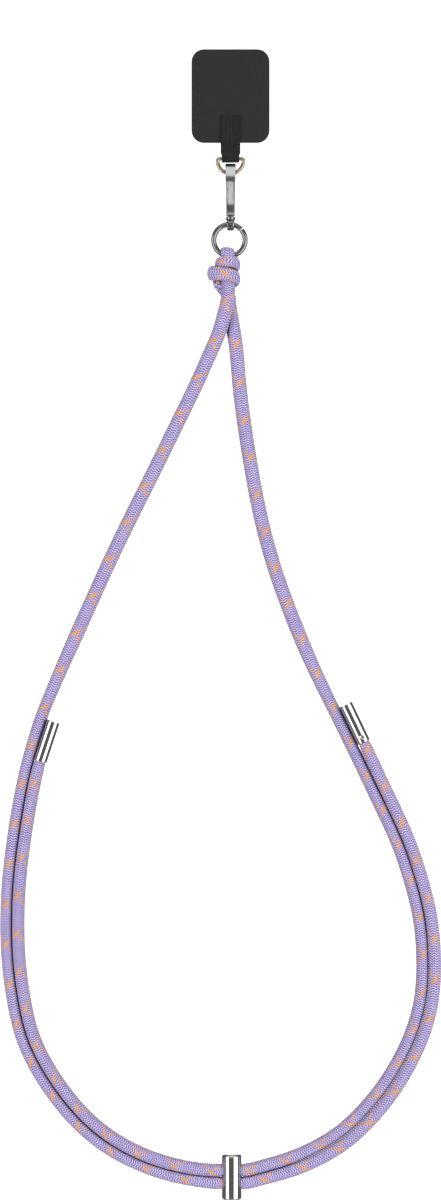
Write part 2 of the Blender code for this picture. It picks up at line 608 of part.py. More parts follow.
def run_side(side, end_depth):
    """The doubled run's points for the cord on one side of its middle line.

    side is +1 for the outer cord and -1 for the inner one. The outer cord lies a little behind
    on the left and in front on the right; end_depth is its place at the right end cap.
    """
    middle = np.asarray(RUN, float)
    knots, place = smooth_curve(middle)
    step = 0.5
    along = place(np.minimum(knots + step, knots[-1])) - place(np.maximum(knots - step, 0.0))
    along /= np.linalg.norm(along, axis=1)[:, None]
    outward = np.stack([along[:, 1], -along[:, 0]], axis=1)
    spacing = np.full(len(middle), PAIR_SPACING / MILLI)
    spacing[SLIDER_AT - 1:SLIDER_AT + 2] = SLIDER_HOLE_SPACING / MILLI
    shifted = middle + side * outward * spacing[:, None] / 2
    level = side * PAIR_DEPTH / MILLI
    last = len(middle) - 1
    at = [0, SLIDER_AT - 4, SLIDER_AT - 1, SLIDER_AT + 1, SLIDER_AT + 4, last - 3, last]
    depth = np.interp(np.arange(len(middle)), at,
                      [level, level, 0.0, 0.0, -level, -level, end_depth])
    return [(x, y, z) for (x, z), y in zip(shifted, depth)]


def cap_points(mouth, way):
    """Points on an end cap's axis for the cord inside it, from its mouth inwards."""
    mouth = np.asarray(mouth, float)
    way = np.asarray(way, float) / np.linalg.norm(way)
    inside = (CAP_LENGTH - CAP_END_WALL - GAP) / MILLI
    return [tuple(mouth + way * inside * share) for share in (0.05, 0.35, 0.7, 1.0)]


def build_cord(name, points, slider_index, material):
    """A plain tube along one cord: full size in the leg, narrower where paired or in a hole."""
    knots, place = smooth_curve(points)
    slider = knots[slider_index]
    half_slider = SLIDER_DIAMETER / 2 / MILLI
    near_slider = [slider - 1.55 * half_slider, slider - 1.22 * half_slider,
                   slider + 1.22 * half_slider, slider + 1.55 * half_slider]
    mouth = knots[-4]
    before_mouth = [mouth - 3.4, mouth - 1.6]
    stations = np.unique(np.concatenate([knots, near_slider, before_mouth]))
    keep = np.concatenate([[True], np.diff(stations) > 1.2])
    stations = stations[keep]
    pair_start = knots[len(LEFT_LEG) - 2]
    table = np.array([
        (0.0, CORD_DIAMETER * 0.97), (knots[3], CORD_DIAMETER), (pair_start - 45.0, CORD_DIAMETER),
        (pair_start - 12.0, CORD_PAIRED * 1.05), (pair_start + 12.0, CORD_PAIRED),
        (near_slider[0], CORD_PAIRED), (near_slider[1], CORD_PINCHED), (near_slider[2], CORD_PINCHED),
        (near_slider[3], CORD_PAIRED), (mouth - 3.4, CORD_PAIRED), (mouth - 1.6, CORD_PINCHED),
        (knots[-1], CORD_PINCHED)])
    radii = np.interp(stations, table[:, 0], table[:, 1]) / 2
    places = [strap_place(point) for point in place(stations)]
    return add_tube(name, places, radii, material, 3)


def build_cap(name, mouth, way, dimple_side, material):
    """Cup over the cord's end, open at its mouth, with one round crimp dimple near it."""
    radius = CAP_DIAMETER / 2
    bore = HOLE_DIAMETER / 2
    profile = [
        (bore * 0.5, CAP_LENGTH - CAP_END_WALL), (bore, CAP_LENGTH - CAP_END_WALL), (bore, 0.0),
        (radius - CAP_EDGE * 0.5, 0.0), (radius, CAP_EDGE * 0.5), (radius, CAP_LENGTH - CAP_EDGE),
        (radius - CAP_EDGE * 0.3, CAP_LENGTH - CAP_EDGE * 0.3), (radius - CAP_EDGE, CAP_LENGTH),
    ]
    origin = strap_place(mouth)
    direction = Vector(way).normalized()
    cap = add_turned(name, profile, origin, direction, 24, material)
    ball_radius = (DIMPLE_DIAMETER ** 2 / 4 + DIMPLE_DEPTH ** 2) / (2 * DIMPLE_DEPTH)
    outward = Vector((0.0, dimple_side, 0.0))
    outward = (outward - outward.dot(direction) * direction).normalized()
    centre = origin + direction * DIMPLE_FROM_MOUTH + outward * (radius - DIMPLE_DEPTH + ball_radius)
    bm = bmesh.new()
    bmesh.ops.create_uvsphere(bm, u_segments=20, v_segments=14, radius=ball_radius)
    bmesh.ops.translate(bm, verts=bm.verts, vec=centre)
    boolean(cap, finish_bmesh(bm, "cut_dimple_" + name, None), "DIFFERENCE")
    return cap


def build_slider(material):
    """Upright barrel with rounded ends and two cross holes, one above the other."""
    centre = strap_place((RUN[SLIDER_AT][0], 0.0, RUN[SLIDER_AT][1]))
    radius = SLIDER_DIAMETER / 2
    half = SLIDER_LENGTH / 2
    inner = radius - SLIDER_EDGE
    profile = [(a, b) for a, b in arc((inner, -half + SLIDER_EDGE), SLIDER_EDGE, -90, 0, 5)] \
        + [(a, b) for a, b in arc((inner, half - SLIDER_EDGE), SLIDER_EDGE, 0, 90, 5)]
    slider = add_turned("slider", profile, centre, (0, 0, 1), 32, material)
    for side, label in ((1, "upper"), (-1, "lower")):
        hole_at = centre + Vector((0, 0, side * SLIDER_HOLE_SPACING / 2))
        wide = HOLE_DIAMETER / 2 + SLIDER_HOLE_CHAMFER
        reach = radius + SLIDER_HOLE_CHAMFER
        tight = HOLE_DIAMETER / 2
        waist = radius - SLIDER_HOLE_CHAMFER * 2.2
        flare = [(wide * 1.3, -reach), (tight, -waist), (tight, waist), (wide * 1.3, reach)]
        cutter = add_turned("cut_slider_" + label, flare, hole_at, (1, 0, 0), 20, None)
        boolean(slider, cutter, "DIFFERENCE")
    return slider


def main():
    clear_scene()
    webbing = make_material("black_webbing", (0.018, 0.018, 0.020), 0.75, 0.0)
    patch = make_material("black_patch", (0.020, 0.020, 0.022), 0.55, 0.0)
    gold = make_material("pale_gold", (0.83, 0.74, 0.60), 0.20, 1.0)
    bright = make_material("bright_cast_metal", (0.72, 0.72, 0.74), 0.18, 1.0)
    dark = make_material("dark_nickel", (0.30, 0.30, 0.31), 0.20, 1.0)
    chrome = make_material("polished_metal", (0.80, 0.80, 0.82), 0.08, 1.0)
    cord = make_material("lavender_cord", (0.46, 0.37, 0.67), 0.80, 0.0)

    build_patch(patch)
    build_tab(webbing)
    build_d_ring(gold)
    build_hook(bright)
    build_gate(bright)
    build_pin(bright)
    build_swivel(bright)
    build_ring(dark)
    build_knot(cord)

    outer = run_side(1, RIGHT_CAP_MOUTH[1])
    inner = run_side(-1, RIGHT_LEG[-1][1])
    left_points = LEFT_LEG + outer[:-1] + cap_points(RIGHT_CAP_MOUTH, RIGHT_CAP_WAY)
    right_points = RIGHT_LEG + inner[::-1][:-1] + cap_points(LEFT_CAP_MOUTH, LEFT_CAP_WAY)
    build_cord("cord_left", left_points, len(LEFT_LEG) + SLIDER_AT, cord)
    build_cord("cord_right", right_points, len(RIGHT_LEG) + len(RUN) - 1 - SLIDER_AT, cord)
    build_cap("end_cap_left", LEFT_CAP_MOUTH, LEFT_CAP_WAY, 1.0, chrome)
    build_cap("end_cap_right", RIGHT_CAP_MOUTH, RIGHT_CAP_WAY, -1.0, chrome)
    build_slider(chrome)


main()
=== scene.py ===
# %% [markdown]
# A phone crossbody strap in Blender: one braided cord, doubled through a barrel slider and knotted
# to a ring under a small snap hook. The solids of the part are already packed, with true sizes and
# joints. This lesson dresses them: it works out each visible surface as a grid of points with
# numpy, hands the grid to a mesh, and gives it a finish made of shader nodes.

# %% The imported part
import math

import bpy
import numpy as np
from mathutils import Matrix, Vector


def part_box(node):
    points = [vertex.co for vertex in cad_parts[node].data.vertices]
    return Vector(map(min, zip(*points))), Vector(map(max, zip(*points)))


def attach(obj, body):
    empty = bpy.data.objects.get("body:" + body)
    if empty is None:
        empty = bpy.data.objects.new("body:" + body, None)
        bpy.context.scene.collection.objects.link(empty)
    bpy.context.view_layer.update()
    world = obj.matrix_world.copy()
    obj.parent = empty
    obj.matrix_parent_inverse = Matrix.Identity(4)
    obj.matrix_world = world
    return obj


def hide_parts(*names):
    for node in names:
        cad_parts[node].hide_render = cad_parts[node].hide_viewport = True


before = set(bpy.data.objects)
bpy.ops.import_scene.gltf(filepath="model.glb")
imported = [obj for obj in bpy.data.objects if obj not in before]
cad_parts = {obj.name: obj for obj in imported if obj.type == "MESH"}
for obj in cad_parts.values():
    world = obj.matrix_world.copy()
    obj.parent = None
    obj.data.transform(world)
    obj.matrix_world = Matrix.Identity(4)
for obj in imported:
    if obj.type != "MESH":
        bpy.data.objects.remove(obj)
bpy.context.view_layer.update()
MM = 0.001

# %% [markdown]
# The camera comes first, because everything is judged through it. The photograph looks level at
# a strap that hangs flat, so the camera looks along +Y. Its place follows from the scale of the
# picture: 0.487 mm to a pixel, with the origin 148 pixels down and 230.5 across. A camera that
# stands 1.2 m away needs a lens that takes in 1200 of those pixels.

# %% The camera
PIXEL = 0.487 * MM
ORIGIN_ACROSS, ORIGIN_DOWN = 230.5, 148.0
PICTURE_WIDTH, PICTURE_HEIGHT = 441, 1200
CAMERA_DISTANCE = 1.2


def new_object(name, data):
    """An object in the scene that shows this data: a camera, a mesh or a light."""
    made = bpy.data.objects.new(name, data)
    bpy.context.scene.collection.objects.link(made)
    return made


camera_data = bpy.data.cameras.new("camera")
camera_data.sensor_fit = "VERTICAL"
camera_data.sensor_height = 24.0
camera_data.lens = camera_data.sensor_height * CAMERA_DISTANCE / (PICTURE_HEIGHT * PIXEL)
camera = new_object("camera", camera_data)
camera.location = ((PICTURE_WIDTH / 2 - ORIGIN_ACROSS) * PIXEL, -CAMERA_DISTANCE,
                   (ORIGIN_DOWN - PICTURE_HEIGHT / 2) * PIXEL)
camera.rotation_euler = (math.pi / 2, 0.0, 0.0)
bpy.context.scene.camera = camera
print("camera at", [round(x, 3) for x in camera.location], "lens", round(camera_data.lens, 1), "mm")

# %% [markdown]
# A cord's route is a short list of places, chosen on the photograph. Straight runs between
# them would look like bent wire, so a smooth line is drawn through them: a natural cubic spline,
# the curve of a thin springy lath held at each place. Blender has spline objects, but working the
# line out here gives its length, and every point on it, as plain numbers.


# %% A smooth line through a few places
def smooth_line(places):
    """Natural cubic spline through places, by the distance along their chords.

    Between places a and b, a step h apart, with shares p = (b - s) / h and q = 1 - p, the point is
    p A + q B + ((p^3 - p) A" + (q^3 - q) B") h^2 / 6, and the second derivatives A", B" solve the
    tridiagonal system that makes the slopes agree at every place and end straight.
    """
    places = np.asarray(places, float)
    at = np.concatenate([[0.0], np.cumsum(np.linalg.norm(np.diff(places, axis=0), axis=1))])
    step = np.diff(at)
    matrix = np.eye(len(places))
    inner = np.arange(1, len(places) - 1)
    matrix[inner, inner - 1] = step[:-1]
    matrix[inner, inner] = 2 * (step[:-1] + step[1:])
    matrix[inner, inner + 1] = step[1:]
    slope = np.diff(places, axis=0) / step[:, None]
    right = np.zeros_like(places)
    right[1:-1] = 6 * np.diff(slope, axis=0)
    bend = np.linalg.solve(matrix, right)

    def place(distance):
        """The points of the line at these distances, measured along the chords."""
        i = np.clip(np.searchsorted(at, distance, side="right") - 1, 0, len(places) - 2)
        p = ((at[i + 1] - distance) / step[i])[:, None]
        q = 1 - p
        return (p * places[i] + q * places[i + 1]
                + ((p ** 3 - p) * bend[i] + (q ** 3 - q) * bend[i + 1]) * (step[i] ** 2)[:, None] / 6)

    return at, place


def evenly(points, step):
    """Points at equal steps along a dense line, with the distance of each: the line's length so
    far is summed from its chords, and the places are read off it by interpolation."""
    far = np.concatenate([[0.0], np.cumsum(np.linalg.norm(np.diff(points, axis=0), axis=1))])
    count = int(round(far[-1] / step)) + 1
    even = np.linspace(0.0, far[-1], count)
    return even, np.stack([np.interp(even, far, points[:, k]) for k in range(3)], axis=1)


lath = smooth_line([(0, 0, 0), (1, 0, 1), (2, 0, 0)])[1](np.array([0.7]))
print("a lath over a bump of 1 stands at", np.round(lath[0], 2), "half way up")

# %% [markdown]
# Nearly every piece here is a grid of points: rows that follow a path, an axis or a width, and
# columns that go once round. One helper turns such a grid into a mesh. It numbers the corners of
# all the faces as whole arrays, closes the ends with one flat face each, stores a UV map if the
# finish needs one, and uses the signed volume to make sure that the faces look outwards.


# %% From a grid of points to a mesh
UV_NAME = "along_round"


def grid_mesh(name, grid, ends="flat", uv=None, sharp=40.0):
    """Mesh of a grid [row, column, xyz] whose columns go round.

    Face (i, j) joins the points (i, j), (i, j+1), (i+1, j+1) and (i+1, j). With ends "flat" the
    first and last rows are closed by a face each; with "joined" the last row meets the first.
    uv is [row, column + 1, 2]. The volume is the sum of a . (b x c) / 6 over the triangles.
    """
    rows, columns = grid.shape[:2]
    steps = rows if ends == "joined" else rows - 1
    i, j = np.meshgrid(np.arange(steps), np.arange(columns), indexing="ij")
    i, j = i.ravel(), j.ravel()
    i_next, j_next = (i + 1) % rows, (j + 1) % columns
    quads = np.stack([i * columns + j, i * columns + j_next,
                      i_next * columns + j_next, i_next * columns + j], axis=1)
    flat = grid.reshape(-1, 3)
    a, b, c, d = (flat[quads[:, k]] for k in range(4))
    volume = (np.cross(a, b) * c).sum() + (np.cross(a, c) * d).sum()
    corners = quads.ravel()
    starts = np.arange(len(quads)) * 4
    if ends == "flat":
        first = np.arange(columns)[::-1]
        last = (rows - 1) * columns + np.arange(columns)
        starts = np.concatenate([starts, [len(corners), len(corners) + columns]])
        corners = np.concatenate([corners, first, last])
    mesh = bpy.data.meshes.new(name)
    mesh.vertices.add(len(flat))
    mesh.vertices.foreach_set("co", flat.astype(np.float32).ravel())
    mesh.loops.add(len(corners))
    mesh.loops.foreach_set("vertex_index", corners.astype(np.int32))
    mesh.polygons.add(len(starts))
    mesh.polygons.foreach_set("loop_start", starts.astype(np.int32))
    if uv is not None:
        marks = np.stack([uv[i, j], uv[i, j + 1], uv[i + 1, j + 1], uv[i + 1, j]], axis=1)
        values = np.zeros((len(corners), 2))
        values[:len(quads) * 4] = marks.reshape(-1, 2)
        if ends == "flat":
            values[len(quads) * 4:len(quads) * 4 + columns] = uv[0, :columns][::-1]
            values[len(quads) * 4 + columns:] = uv[-1, :columns]
        layer = mesh.uv_layers.new(name=UV_NAME)
        layer.data.foreach_set("uv", values.astype(np.float32).ravel())
    mesh.update(calc_edges=True)
    if volume < 0:
        mesh.flip_normals()
    mesh.shade_smooth()
    mesh.set_sharp_from_angle(angle=math.radians(sharp))
    return mesh


def add_piece(name, mesh, body, slot, material, *nodes):
    """Put a mesh in the scene as a piece that rides on a body and stands for its CAD nodes."""
    piece = new_object(name, mesh)
    mesh.materials.append(material)
    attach(piece, body)
    if nodes:
        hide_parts(*nodes)
    print(name, "has", len(mesh.polygons), "faces")
    return piece


def joined(*meshes):
    """One mesh from several closed ones, laid in the same object with nothing fused."""
    parts = [new_object(mesh.name, mesh) for mesh in meshes]
    with bpy.context.temp_override(active_object=parts[0], selected_editable_objects=parts,
                                   object=parts[0], selected_objects=parts):
        bpy.ops.object.join()
    result = parts[0].data
    bpy.data.objects.remove(parts[0])
    return result


# %% [markdown]
# A pipe, a cord and a strap of webbing have one thing in common: a closed section carried along a
# path. The section is a superellipse. With an exponent of 2 it is an ellipse, for a wire or a
# cord, and with 4 or more it is a bar with soft corners, for webbing or cast metal.


# %% A section carried along a path
def along(path, closed=False):
    """Unit tangents of a path, from the difference of each point's two neighbours."""
    if closed:
        tangent = np.roll(path, -1, axis=0) - np.roll(path, 1, axis=0)
    else:
        tangent = np.gradient(path, axis=0)
    return tangent / np.linalg.norm(tangent, axis=1, keepdims=True)


def square_to(vectors, tangents):
    """Vectors with their share along the tangents taken away, at unit length."""
    vectors = vectors - (vectors * tangents).sum(axis=1, keepdims=True) * tangents
    return vectors / np.linalg.norm(vectors, axis=1, keepdims=True)


def carried(path, out, wide, deep, columns, power=2.0, closed=False, turns=None, lift=0.0):
    """A superellipse carried along a path, as a grid.

    At angle t round the section the point is C + w c(t) A + d s(t) O, where C is on the path, O is
    the outward direction made square to the path, A = T x O lies across it, w and d are the half
    width and half depth, and c and s are the cosine and sine raised to 2 / power with their signs
    kept. turns holds t for every point, where an even share will not do, and lift is added to
    both w and d.
    """
    tangent = along(path, closed)
    out = square_to(np.broadcast_to(out, path.shape), tangent)
    across = np.cross(tangent, out)
    if turns is None:
        turns = np.broadcast_to(np.arange(columns) / columns, (len(path), columns))
    angle = 2 * math.pi * turns
    c, s = np.cos(angle), np.sin(angle)
    c = np.sign(c) * np.abs(c) ** (2 / power)
    s = np.sign(s) * np.abs(s) ** (2 / power)
    wide = np.broadcast_to(wide, len(path))[:, None]
    deep = np.broadcast_to(deep, len(path))[:, None]
    return (path[:, None] + ((wide + lift) * c)[..., None] * across[:, None]
            + ((deep + lift) * s)[..., None] * out[:, None])


hoop = np.stack([np.cos(np.arange(24) / 24 * 2 * math.pi), np.zeros(24),
                 np.sin(np.arange(24) / 24 * 2 * math.pi)], axis=1)
print("a test hoop's grid:", carried(hoop, (0, 1, 0), 0.1, 0.1, 12, closed=True).shape)

# %% [markdown]
# Shader nodes are easier to read as a sum than as a picture of wires, so small helpers write them:
# one starts a Principled material, and the others each add a node and give back its output.


# %% Helpers for shader nodes
def new_finish(name, colour, roughness, metallic=0.0):
    """A Principled material and its tree, with its fixed values on the shader's own sockets."""
    material = bpy.data.materials.new(name)
    material.use_nodes = True
    tree = material.node_tree
    shader = tree.nodes["Principled BSDF"]
    shader.inputs["Base Color"].default_value = (*colour, 1.0)
    shader.inputs["Roughness"].default_value = roughness
    shader.inputs["Metallic"].default_value = metallic
    return material, tree, shader


def feed(tree, socket, value):
    """Wire a node's output into a socket, or write a plain number there."""
    if isinstance(value, bpy.types.NodeSocket):
        tree.links.new(value, socket)
    else:
        socket.default_value = value


def maths(tree, operation, *values, clamp=False):
    """One maths node; its output can be the input of the next."""
    node = tree.nodes.new("ShaderNodeMath")
    node.operation = operation
    node.use_clamp = clamp
    for socket, value in zip(node.inputs, values):
        feed(tree, socket, value)
    return node.outputs[0]


def ripple(tree, value, period):
    """A sine wave that repeats whenever value has grown by period."""
    return maths(tree, "SINE", maths(tree, "MULTIPLY", value, 2 * math.pi / period))


def noise(tree, vector, scale, detail=2.0, roughness=0.55):
    """Cloudy noise from 0 to 1; scale is about how many clouds there are to a metre."""
    node = tree.nodes.new("ShaderNodeTexNoise")
    node.inputs["Scale"].default_value = scale
    node.inputs["Detail"].default_value = detail
    node.inputs["Roughness"].default_value = roughness
    feed(tree, node.inputs["Vector"], vector)
    return node.outputs["Fac"]


def between(tree, value, low, high, to_low=0.0, to_high=1.0, smooth=True):
    """Map a value from one range to another, with a soft start and stop."""
    node = tree.nodes.new("ShaderNodeMapRange")
    node.interpolation_type = "SMOOTHSTEP" if smooth else "LINEAR"
    for socket, number in zip(node.inputs, (value, low, high, to_low, to_high)):
        feed(tree, socket, number)
    return node.outputs["Result"]


def blend_colour(tree, share, first, second):
    """From the first colour, at share 0, to the second, at 1. Each is three numbers or an output."""
    node = tree.nodes.new("ShaderNodeMix")
    node.data_type = "RGBA"
    feed(tree, node.inputs["Factor"], share)
    for socket, colour in (("A", first), ("B", second)):
        wired = isinstance(colour, bpy.types.NodeSocket)
        feed(tree, node.inputs[socket], colour if wired else (*colour, 1.0))
    return node.outputs["Result"]


def raise_bump(tree, shader, height, distance, strength=1.0):
    """Shade the surface as if it rose by distance, in metres, where height is 1."""
    node = tree.nodes.new("ShaderNodeBump")
    node.inputs["Distance"].default_value = distance
    node.inputs["Strength"].default_value = strength
    feed(tree, node.inputs["Height"], height)
    tree.links.new(node.outputs["Normal"], shader.inputs["Normal"])


def split_place(tree, place):
    """A place's X, Y and Z, as three outputs."""
    node = tree.nodes.new("ShaderNodeSeparateXYZ")
    tree.links.new(place, node.inputs["Vector"])
    return node.outputs


def uv_place(tree):
    """The UV map's place: along the piece as X and round it as Y."""
    node = tree.nodes.new("ShaderNodeUVMap")
    node.uv_map = UV_NAME
    return split_place(tree, node.outputs["UV"])


def object_place(tree):
    """The place in the object, in metres."""
    return tree.nodes.new("ShaderNodeTexCoord").outputs["Object"]


print("shader helpers ready")

# %% [markdown]
# The cord is a tubular braid. Sixteen yarns wind round it one way and sixteen the other, each going
# over two and under two. That makes sixteen columns of slanted stitches, leaning left and right in
# turn, and sixteen stitches of a column to one turn of a yarn. Two neighbours of each family are
# orange, so they cross in an X once a turn at the front and once at the back.
#
# Real strands for 1.7 m of cord would be millions of faces. The braid is worked out twice
# instead, from the same rule: as a relief on the cord's mesh, three points to a stitch each way, and
# as colour and fine bump in the material, sharp at any distance. Both read the same UV map:
# u counts turns of a yarn along the cord and v goes once round it.

# %% The braid's rule, as a relief
COLUMNS = 16
POINTS_A_COLUMN = 3
STITCH_HEIGHT = 0.34
MEAN_HEIGHT = 0.62
LEAN = 0.32
SIDE_FALL = 0.35


def braid_relief(u, v):
    """Height of the braid at u turns along and v turns round, from 0 in a seam to 1 on a crest.

    v picks the column c = floor(16 v) and the place w in it, from -1 to 1. Even columns lean one
    way and odd ones the other, d = +1 or -1, so the stitch number is 16 u - d w LEAN. Its
    distance q from the nearest whole number gives the crest, 1 - (2 q)^2, and the column
    falls off to its sides as 1 - SIDE_FALL w^2.
    """
    strip = COLUMNS * v
    column = np.floor(strip + 1e-9)
    w = 2 * (strip - column) - 1
    d = 1 - 2 * np.mod(column, 2)
    stitch = COLUMNS * u - d * w * LEAN
    q = stitch - np.round(stitch)
    return (1 - (2 * q) ** 2) * (1 - SIDE_FALL * w ** 2)


sample = braid_relief(np.array([0.0, 0.25 / 16, 0.5 / 16]), np.full(3, 0.5 / 16))
print("height on a crest, beside it and in a seam:", np.round(sample, 2))

# %% [markdown]
# The material repeats that rule with maths nodes. The seams between stitches go dark, because
# little light comes out of them, and each stitch is a flat bundle of filaments, drawn as fine
# ridges that run along it. A stitch belongs to an orange yarn when its number and its column
# add up to a multiple of sixteen or one more, or differ by as much in the columns that lean the
# other way. Where two cords press together, shade is painted into the colour: an ambient
# occlusion node darkens it where little of the surroundings is in reach.

# %% The braid's rule, as a finish
LAVENDER = (0.70, 0.61, 1.0)
LAVENDER_DEEP = (0.54, 0.45, 0.88)
SEAM = (0.07, 0.045, 0.18)
TRACER = (1.0, 0.50, 0.15)
TRACER_SEAM = (0.48, 0.24, 0.30)
TRACER_YARNS = 2.0
FILAMENTS = 5.0
# The deep purple of the painted shade between cords that press together, and how far the occlusion node
# looks.
PAINTED_NOOK_SHADE = (0.04, 0.014, 0.13)
NOOK_SHADE_REACH = 3.0 * MM

cord_finish, tree, shader = new_finish("braided_lavender_cord", LAVENDER, 0.72)
shader.inputs["Sheen Weight"].default_value = 0.15
shader.inputs["Sheen Roughness"].default_value = 0.45
along_u, round_v, _ = uv_place(tree)
strip = maths(tree, "MULTIPLY", round_v, float(COLUMNS))
column = maths(tree, "FLOOR", strip)
w = maths(tree, "MULTIPLY_ADD", maths(tree, "SUBTRACT", strip, column), 2.0, -1.0)
d = maths(tree, "MULTIPLY_ADD", maths(tree, "FLOORED_MODULO", column, 2.0), -2.0, 1.0)
slant = maths(tree, "MULTIPLY", maths(tree, "MULTIPLY", d, w), LEAN)
stitch = maths(tree, "SUBTRACT", maths(tree, "MULTIPLY", along_u, float(COLUMNS)), slant)
number = maths(tree, "ROUND", stitch)
q = maths(tree, "SUBTRACT", stitch, number)
off_crest = maths(tree, "ABSOLUTE", maths(tree, "MULTIPLY", q, 2.0))
crest = maths(tree, "SUBTRACT", 1.0, maths(tree, "POWER", off_crest, 1.7))
sides = maths(tree, "MULTIPLY_ADD", maths(tree, "MULTIPLY", w, w), -SIDE_FALL, 1.0)
height = maths(tree, "MULTIPLY", crest, sides, clamp=True)
tally = maths(tree, "SUBTRACT", number, maths(tree, "MULTIPLY", d, column))
yarn = maths(tree, "FLOORED_MODULO", maths(tree, "ADD", tally, 0.5), float(COLUMNS))
is_tracer = maths(tree, "LESS_THAN", yarn, TRACER_YARNS)
place = object_place(tree)
patchy = noise(tree, place, 220.0)
filament = ripple(tree, q, 1 / FILAMENTS)
open_seam = between(tree, height, 0.0, 0.95)
lavender = blend_colour(tree, between(tree, patchy, 0.35, 0.65), LAVENDER_DEEP, LAVENDER)
lavender = blend_colour(tree, 0.62, lavender, LAVENDER)
lavender = blend_colour(tree, open_seam, SEAM, lavender)
orange = blend_colour(tree, open_seam, TRACER_SEAM, TRACER)
yarns = blend_colour(tree, is_tracer, lavender, orange)
# Painted shade: where the occlusion node finds little in reach, as between cords that press together,
# the colour is darkened towards the deep purple.
nook_shade = tree.nodes.new("ShaderNodeAmbientOcclusion")
nook_shade.samples = 8
nook_shade.inputs["Distance"].default_value = NOOK_SHADE_REACH
unshaded_share = between(tree, nook_shade.outputs["AO"], 0.10, 0.60)
tree.links.new(blend_colour(tree, unshaded_share, PAINTED_NOOK_SHADE, yarns), shader.inputs["Base Color"])
fuzz = noise(tree, place, 5200.0)
fine = maths(tree, "MULTIPLY_ADD", filament, 0.10, maths(tree, "MULTIPLY", fuzz, 0.22))
raise_bump(tree, shader, maths(tree, "ADD", height, fine), 0.40 * MM, 1.0)
print(cord_finish.name, "has", len(tree.nodes), "nodes")

# %% [markdown]
# Now the cord's two halves. Each starts under the knot as a leg, joins the other in the doubled
# run, goes through the slider and ends in the far end cap. The places below are those of the
# packed tubes. The left leg passes in front at the knot and takes the outer lane, the right one
# the inner lane, and the lanes trade front for back on their way round.

# %% Where the cord runs
# Millimetres from the middle of the cord ring's lowest wire: across (+X), back (+Y), up (+Z).
LEFT_LEG = [
    (-0.2, -3.7, -19.2), (-0.4, -3.7, -20.9), (-2.5, -3.1, -30.1), (-4.5, -1.4, -36.9),
    (-8.2, -0.3, -45.7), (-14.7, 0.0, -60.3), (-24.1, 0.0, -79.8), (-33.6, 0.0, -99.3),
    (-43.3, 0.0, -118.8), (-52.9, 0.0, -138.2), (-62.0, 0.0, -157.7), (-70.8, 0.0, -177.2),
    (-79.5, 0.1, -196.7), (-87.9, 0.3, -216.2), (-91.7, 0.6, -225.9), (-94.9, 0.8, -235.7),
]
RIGHT_LEG = [
    (0.1, 3.7, -19.2), (0.2, 3.7, -20.9), (1.4, 3.1, -30.1), (2.5, 1.4, -36.9),
    (3.7, 0.3, -45.7), (5.0, 0.0, -60.3), (7.3, 0.0, -79.8), (10.3, 0.0, -99.3),
    (13.8, 0.0, -118.8), (18.3, 0.0, -138.2), (24.2, 0.0, -157.7), (31.4, 0.2, -177.2),
    (39.6, 0.6, -196.7), (48.8, 1.2, -216.2), (54.1, 1.5, -226.9),
]
# The middle line of the doubled run: across (+X), up (+Z).
RUN = [
    (-94.7, -246.1), (-98.9, -264.8), (-102.1, -284.3), (-104.4, -303.8), (-105.3, -323.3),
    (-104.7, -342.8), (-102.2, -362.2), (-97.3, -381.7), (-90.2, -396.3), (-80.2, -410.9),
    (-67.5, -424.5), (-52.9, -434.9), (-38.3, -441.7), (-23.7, -446.0), (-13.0, -447.8),
    (-4.5, -448.4), (1.5, -448.4), (7.5, -448.4), (15.5, -446.7), (27.9, -443.2),
    (42.5, -437.2), (57.1, -428.0), (66.9, -418.8), (76.6, -407.1), (86.2, -391.5),
    (92.6, -376.9), (96.3, -362.2), (97.4, -342.8), (95.8, -323.3), (91.2, -303.8),
    (84.5, -284.3), (75.6, -264.8), (68.7, -250.2), (62.3, -236.9),
]
SLIDER_AT = 16
LEFT_CAP_MOUTH, LEFT_CAP_WAY = (-91.6, -1.2, -245.9), (0.315, -0.03, 0.949)
RIGHT_CAP_MOUTH, RIGHT_CAP_WAY = (65.7, -1.7, -236.7), (-0.432, -0.02, 0.902)
PAIR_SPACING, HOLE_SPACING, PAIR_DEPTH = 6.0, 6.2, 0.9
CAP_LENGTH, CAP_WALL = 20.4, 1.4

slider_middle = np.array([list(corner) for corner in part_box("slider")]).mean(axis=0)
strap_top = slider_middle - np.array([RUN[SLIDER_AT][0], 0.0, RUN[SLIDER_AT][1]]) * MM
print("the strap hangs from", np.round(strap_top / MM, 2), "mm")


# %% The two lanes of the doubled run
def lane(side, end_depth):
    """One lane of the run: the middle line moved square to itself by half the spacing.

    side is +1 for the outer lane and -1 for the inner one. The outward direction of a line with
    tangent (x, z) is (z, -x). The lane's depth changes sides at the slider.
    """
    middle = np.array(RUN)
    at, place = smooth_line(middle)
    tangent = place(np.minimum(at + 0.5, at[-1])) - place(np.maximum(at - 0.5, 0.0))
    tangent /= np.linalg.norm(tangent, axis=1, keepdims=True)
    spacing = np.full(len(middle), PAIR_SPACING)
    spacing[SLIDER_AT - 1:SLIDER_AT + 2] = HOLE_SPACING
    moved = middle + side * np.stack([tangent[:, 1], -tangent[:, 0]], axis=1) * spacing[:, None] / 2
    level = side * PAIR_DEPTH
    last = len(middle) - 1
    marks = [0, SLIDER_AT - 4, SLIDER_AT - 1, SLIDER_AT + 1, SLIDER_AT + 4, last - 3, last]
    levels = [level, level, 0, 0, -level, -level, end_depth]
    depth = np.interp(np.arange(len(middle)), marks, levels)
    return np.stack([moved[:, 0], depth, moved[:, 1]], axis=1)


def inside_cap(mouth, way):
    """Four places on a cap's axis, from its mouth to just short of its closed end."""
    way = np.array(way) / np.linalg.norm(way)
    shares = np.array([0.05, 0.35, 0.7, 1.0])[:, None]
    return np.array(mouth) + way * (CAP_LENGTH - CAP_WALL) * shares


